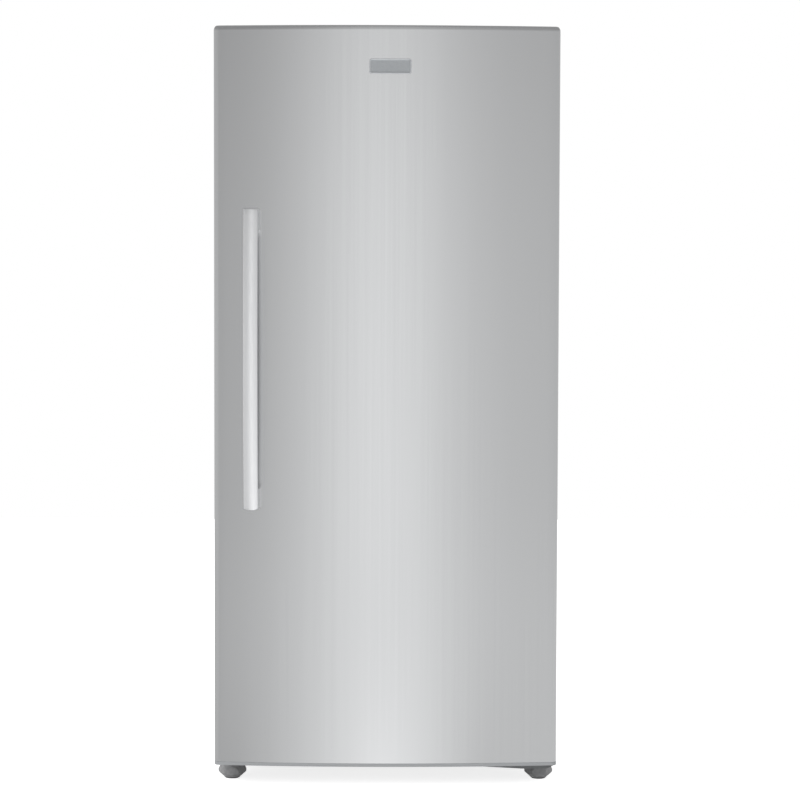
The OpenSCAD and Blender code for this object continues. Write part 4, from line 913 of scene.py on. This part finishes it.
def foot_details(side):
    """A dark rubber pad under the foot, partly a real sole and partly a painted contact shadow along its
    base, and the thread up its stem.
    """
    node = "front_foot_" + side
    lo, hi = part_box(node)
    x = (lo.x + hi.x) / 2
    y = (lo.y + hi.y) / 2
    pad = turned("foot_pad_" + side, [(15, 0), (17.3, 0), (17.9, 0.5), (20.6, 3), (20.2, 3.4), (17, 3.4)],
                 (x, y, 0), (0, 0, 1), rubber_sole_and_painted_shadow)
    stands_for(pad, BODY_OF[node], "foot_grey")
    thread = grow("foot_thread_" + side, {"Count": 20, "Stem Radius": 6.05 * MM, "Crest": 0.45 * MM,
                                          "Pitch": 1.75 * MM, "Centre": (x, y, 39 * MM)}, thread_tree, zinc)
    stands_for(thread, BODY_OF[node], "pin_steel")


# Nodes whose shape is right: most get edges rounded by so many millimetres, some keep their mesh,
# among them the dial and the lamp's lens, whose faces rounding spoilt
BODY_OF = {n: b for b, members in frame["record"]["behaviour"]["bodies"].items() for n in members}
SLOT_OF = {s["node"]: s["material_slot"] for s in frame["record"]["subparts"]}
EDGED = {
    "side_panel_left": (side_paint, 0.4), "side_panel_right": (side_paint, 0.4),
    "top_panel": (side_paint, 0.35),
    "cabinet_liner": (liner_white, 1.2), "base_frame": (base_black, 0.5),
    "machine_cover": (galvanised, 0.4), "top_hinge_cover": (cap_grey, 1.0),
    "bottom_hinge_bracket": (bracket_paint, 0.8), "top_hinge_bracket": (hinge_paint, 0.8),
    "door_cap_bottom": (cap_dark, 1.0), "door_cap_top": (cap_grey, 0.8),
    "door_liner": (liner_white, 1.2), "shelf_frames": (trim_white, 1.0),
    "shelf_glass_1": (shelf_glass, 0.6), "shelf_glass_2": (shelf_glass, 0.6),
    "shelf_glass_3": (shelf_glass, 0.6), "crisper_cover": (trim_white, 1.0),
    "crisper_left": (clear_san, 0.8), "crisper_right": (clear_san, 0.8),
    "door_bins": (clear_san, 0.8), "dairy_bin": (clear_san, 0.8), "dairy_lid": (clear_san, 0.6),
    "humidity_slider_left": (control_grey, 0.8), "humidity_slider_right": (control_grey, 0.8),
    "control_housing": (trim_white, 2.0), "evaporator_cover": (trim_white, 1.0),
    "switch_housing": (trim_white, 0.8), "light_switch_plunger": (trim_white, 0.8),
    # The feet's grey is painted paler, as painted light in place of the shade under the cabinet
    "front_foot_left": (foot_nylon_painted_paler, 1.2), "front_foot_right": (foot_nylon_painted_paler, 1.2),
    "rear_roller_left": (roller_acetal, 1.5), "rear_roller_right": (roller_acetal, 1.5),
    "power_inlet": (epdm, 0.8), "drain_pan": (fan_plastic, 0.6),
    "start_relay_cover": (fan_plastic, 1.5), "compressor_mounts": (epdm, 0.8),
    "hinge_pins": (turned_steel, 0.6), "hinge_bushes": (trim_white, 0.3),
}
PLAIN = {
    "door_foam": foam, "compressor": enamel, "condenser": enamel,
    "condenser_fan_motor": zinc, "evaporator_fan_motor": zinc, "condenser_fan_blade": fan_plastic,
    "evaporator_fan_blade": fan_plastic, "filter_drier": copper, "refrigerant_lines": copper,
    "evaporator": fin_alu, "roller_axles": turned_steel, "handle_studs": turned_steel,
    "temperature_dial": control_grey, "lamp_lens": opal,
}
# The back cover is thinned for its screw heads, and the door's top cap stays inside the fold
FITTED = {
    "machine_cover": lambda co: Vector((co.x, co.y if co.y < BACK_Y - 0.1 * MM else COVER_Y, co.z)),
    "door_cap_top": lambda co: Vector((max(-HALF_W + 9.5 * MM, min(HALF_W - 9.5 * MM, co.x)),
                                       max(face_y(co.x) + 9.5 * MM, co.y), co.z)),
}
for node, (material, width) in EDGED.items():
    piece = edged_copy(node, width, fitted=FITTED.get(node))
    finish_with(piece, material)
    stands_for(piece, BODY_OF[node], SLOT_OF[node], node)
for node, material in PLAIN.items():
    finish_with(nodes[node], material)

back_screws()
hinge_fixings()
evaporator_cover_screws()
louvre_slats()
dial_marks()
foot_details("left")
foot_details("right")


# Surroundings: a white floor and room, a soft sun, and a front light that only metal sees

def front_light(tree, column, peak, power, right, beside):
    """What metal sees ahead, by the column of the door that mirrors it, in metres: peak more at
    the middle, falling slowly to the left and faster, to the level right, to the right. Past the
    door's left edge it is beside times as bright."""
    base = ranged(tree, column, (-0.3, 0.2), (0.6, right), "SMOOTHSTEP")
    rise = ranged(tree, column, (-0.38, 0.0))
    fall = ranged(tree, column, (-0.02, 0.23), (1.0, 0.0))
    steep = maths(tree, "POWER", maths(tree, "MINIMUM", rise, fall), power)
    band = maths(tree, "MULTIPLY_ADD", steep, peak, base)
    past = ranged(tree, column, (-0.42, -0.75), (1.0, beside), "SMOOTHSTEP")
    return maths(tree, "MULTIPLY", band, past)


# A ray that leaves the door's column x goes sideways by this much of x for each metre ahead,
# which is what the door's bow and the camera's distance make of it
SPREAD = 0.69


def room():
    """Camera rays see white, metal sees a soft upright light straight ahead of the door that
    dims upwards, and everything else gets an even light."""
    world = bpy.data.worlds.new("room")
    bpy.context.scene.world = world
    world.use_nodes = True
    tree = world.node_tree
    tree.nodes.clear()
    towards = add(tree, "ShaderNodeTexCoord").outputs["Generated"]
    axes = add(tree, "ShaderNodeSeparateXYZ", links={"Vector": towards}).outputs
    reach = maths(tree, "MULTIPLY_ADD", maths(tree, "ABSOLUTE", axes["Y"]), SPREAD, 0.001)
    column = maths(tree, "DIVIDE", axes["X"], reach)
    # Pushes whatever isn't ahead of the door past the light's right end
    behind = ranged(tree, axes["Y"], (-0.05, 0.05), (0.0, 9.0))
    there = maths(tree, "ADD", column, behind)
    height = ranged(tree, axes["Z"], (0.0, 0.47), (0.88, 0.5), "SMOOTHSTEP")
    front = front_light(tree, there, peak=1.36, power=1.8, right=0.86, beside=1.4)
    seen = maths(tree, "MULTIPLY", front, height)
    ray = add(tree, "ShaderNodeLightPath").outputs
    metal = add(tree, "ShaderNodeMix", {"data_type": "FLOAT", 2: 0.62}, {0: ray["Is Glossy Ray"], 3: seen})
    clear = maths(tree, "MAXIMUM", ray["Is Camera Ray"], ray["Is Transmission Ray"])
    level = add(tree, "ShaderNodeMix", {"data_type": "FLOAT", 3: 1.0}, {0: clear, 2: metal.outputs[0]})
    light = add(tree, "ShaderNodeBackground", {"Color": (1, 1, 1, 1)}, {"Strength": level.outputs[0]})
    add(tree, "ShaderNodeOutputWorld", links={"Surface": light.outputs[0]})


def floor():
    """White to the camera where it is lit, and grey under the object. Metal sees the front
    light go on down the floor to the door's foot."""
    mat = bpy.data.materials.new("white_studio_floor")
    mat.use_nodes = True
    tree = mat.node_tree
    tree.nodes.clear()
    place = add(tree, "ShaderNodeTexCoord").outputs["Object"]
    axes = add(tree, "ShaderNodeSeparateXYZ", links={"Vector": place}).outputs
    away = maths(tree, "MULTIPLY_ADD", axes["Y"], -SPREAD, 1 + SPREAD * APEX_Y)
    column = maths(tree, "DIVIDE", axes["X"], maths(tree, "MAXIMUM", away, 0.9))
    front = front_light(tree, column, peak=0.58, power=1.0, right=0.79, beside=1.1)
    lane = maths(tree, "MULTIPLY", front, 1.08)
    ray = add(tree, "ShaderNodeLightPath").outputs
    matt = add(tree, "ShaderNodeBsdfDiffuse", {"Color": (0.8, 0.8, 0.8, 1)})
    lift = add(tree, "ShaderNodeEmission", {"Color": (1, 1, 1, 1), "Strength": 0.8})
    white = add(tree, "ShaderNodeAddShader", links={0: matt.outputs[0], 1: lift.outputs[0]})
    mirrored = add(tree, "ShaderNodeEmission", {"Color": (1, 1, 1, 1)}, {"Strength": lane})
    shown = add(tree, "ShaderNodeMixShader",
                links={0: ray["Is Camera Ray"], 1: matt.outputs[0], 2: white.outputs[0]})
    final = add(tree, "ShaderNodeMixShader",
                links={0: ray["Is Glossy Ray"], 1: shown.outputs[0], 2: mirrored.outputs[0]})
    add(tree, "ShaderNodeOutputMaterial", links={"Surface": final.outputs[0]})
    reach = 6.0
    corners = [(-reach, -reach, 0), (reach, -reach, 0), (reach, reach, 0), (-reach, reach, 0)]
    mesh_piece("studio_floor", corners, [(0, 1, 2, 3)], mat, smooth=False, turn_out=False)


def soft_sun():
    lamp = bpy.data.lights.new("soft_sun", "SUN")
    lamp.energy = 1.7
    lamp.angle = math.radians(50)
    sun = new_object("soft_sun", lamp)
    towards = Vector((0.45, 0.75, -0.75)).normalized()
    sun.rotation_mode = "QUATERNION"
    sun.rotation_quaternion = towards.to_track_quat("-Z", "Y")
    sun.visible_glossy = False


room()
floor()
soft_sun()
bpy.context.scene.view_settings.view_transform = "Standard"
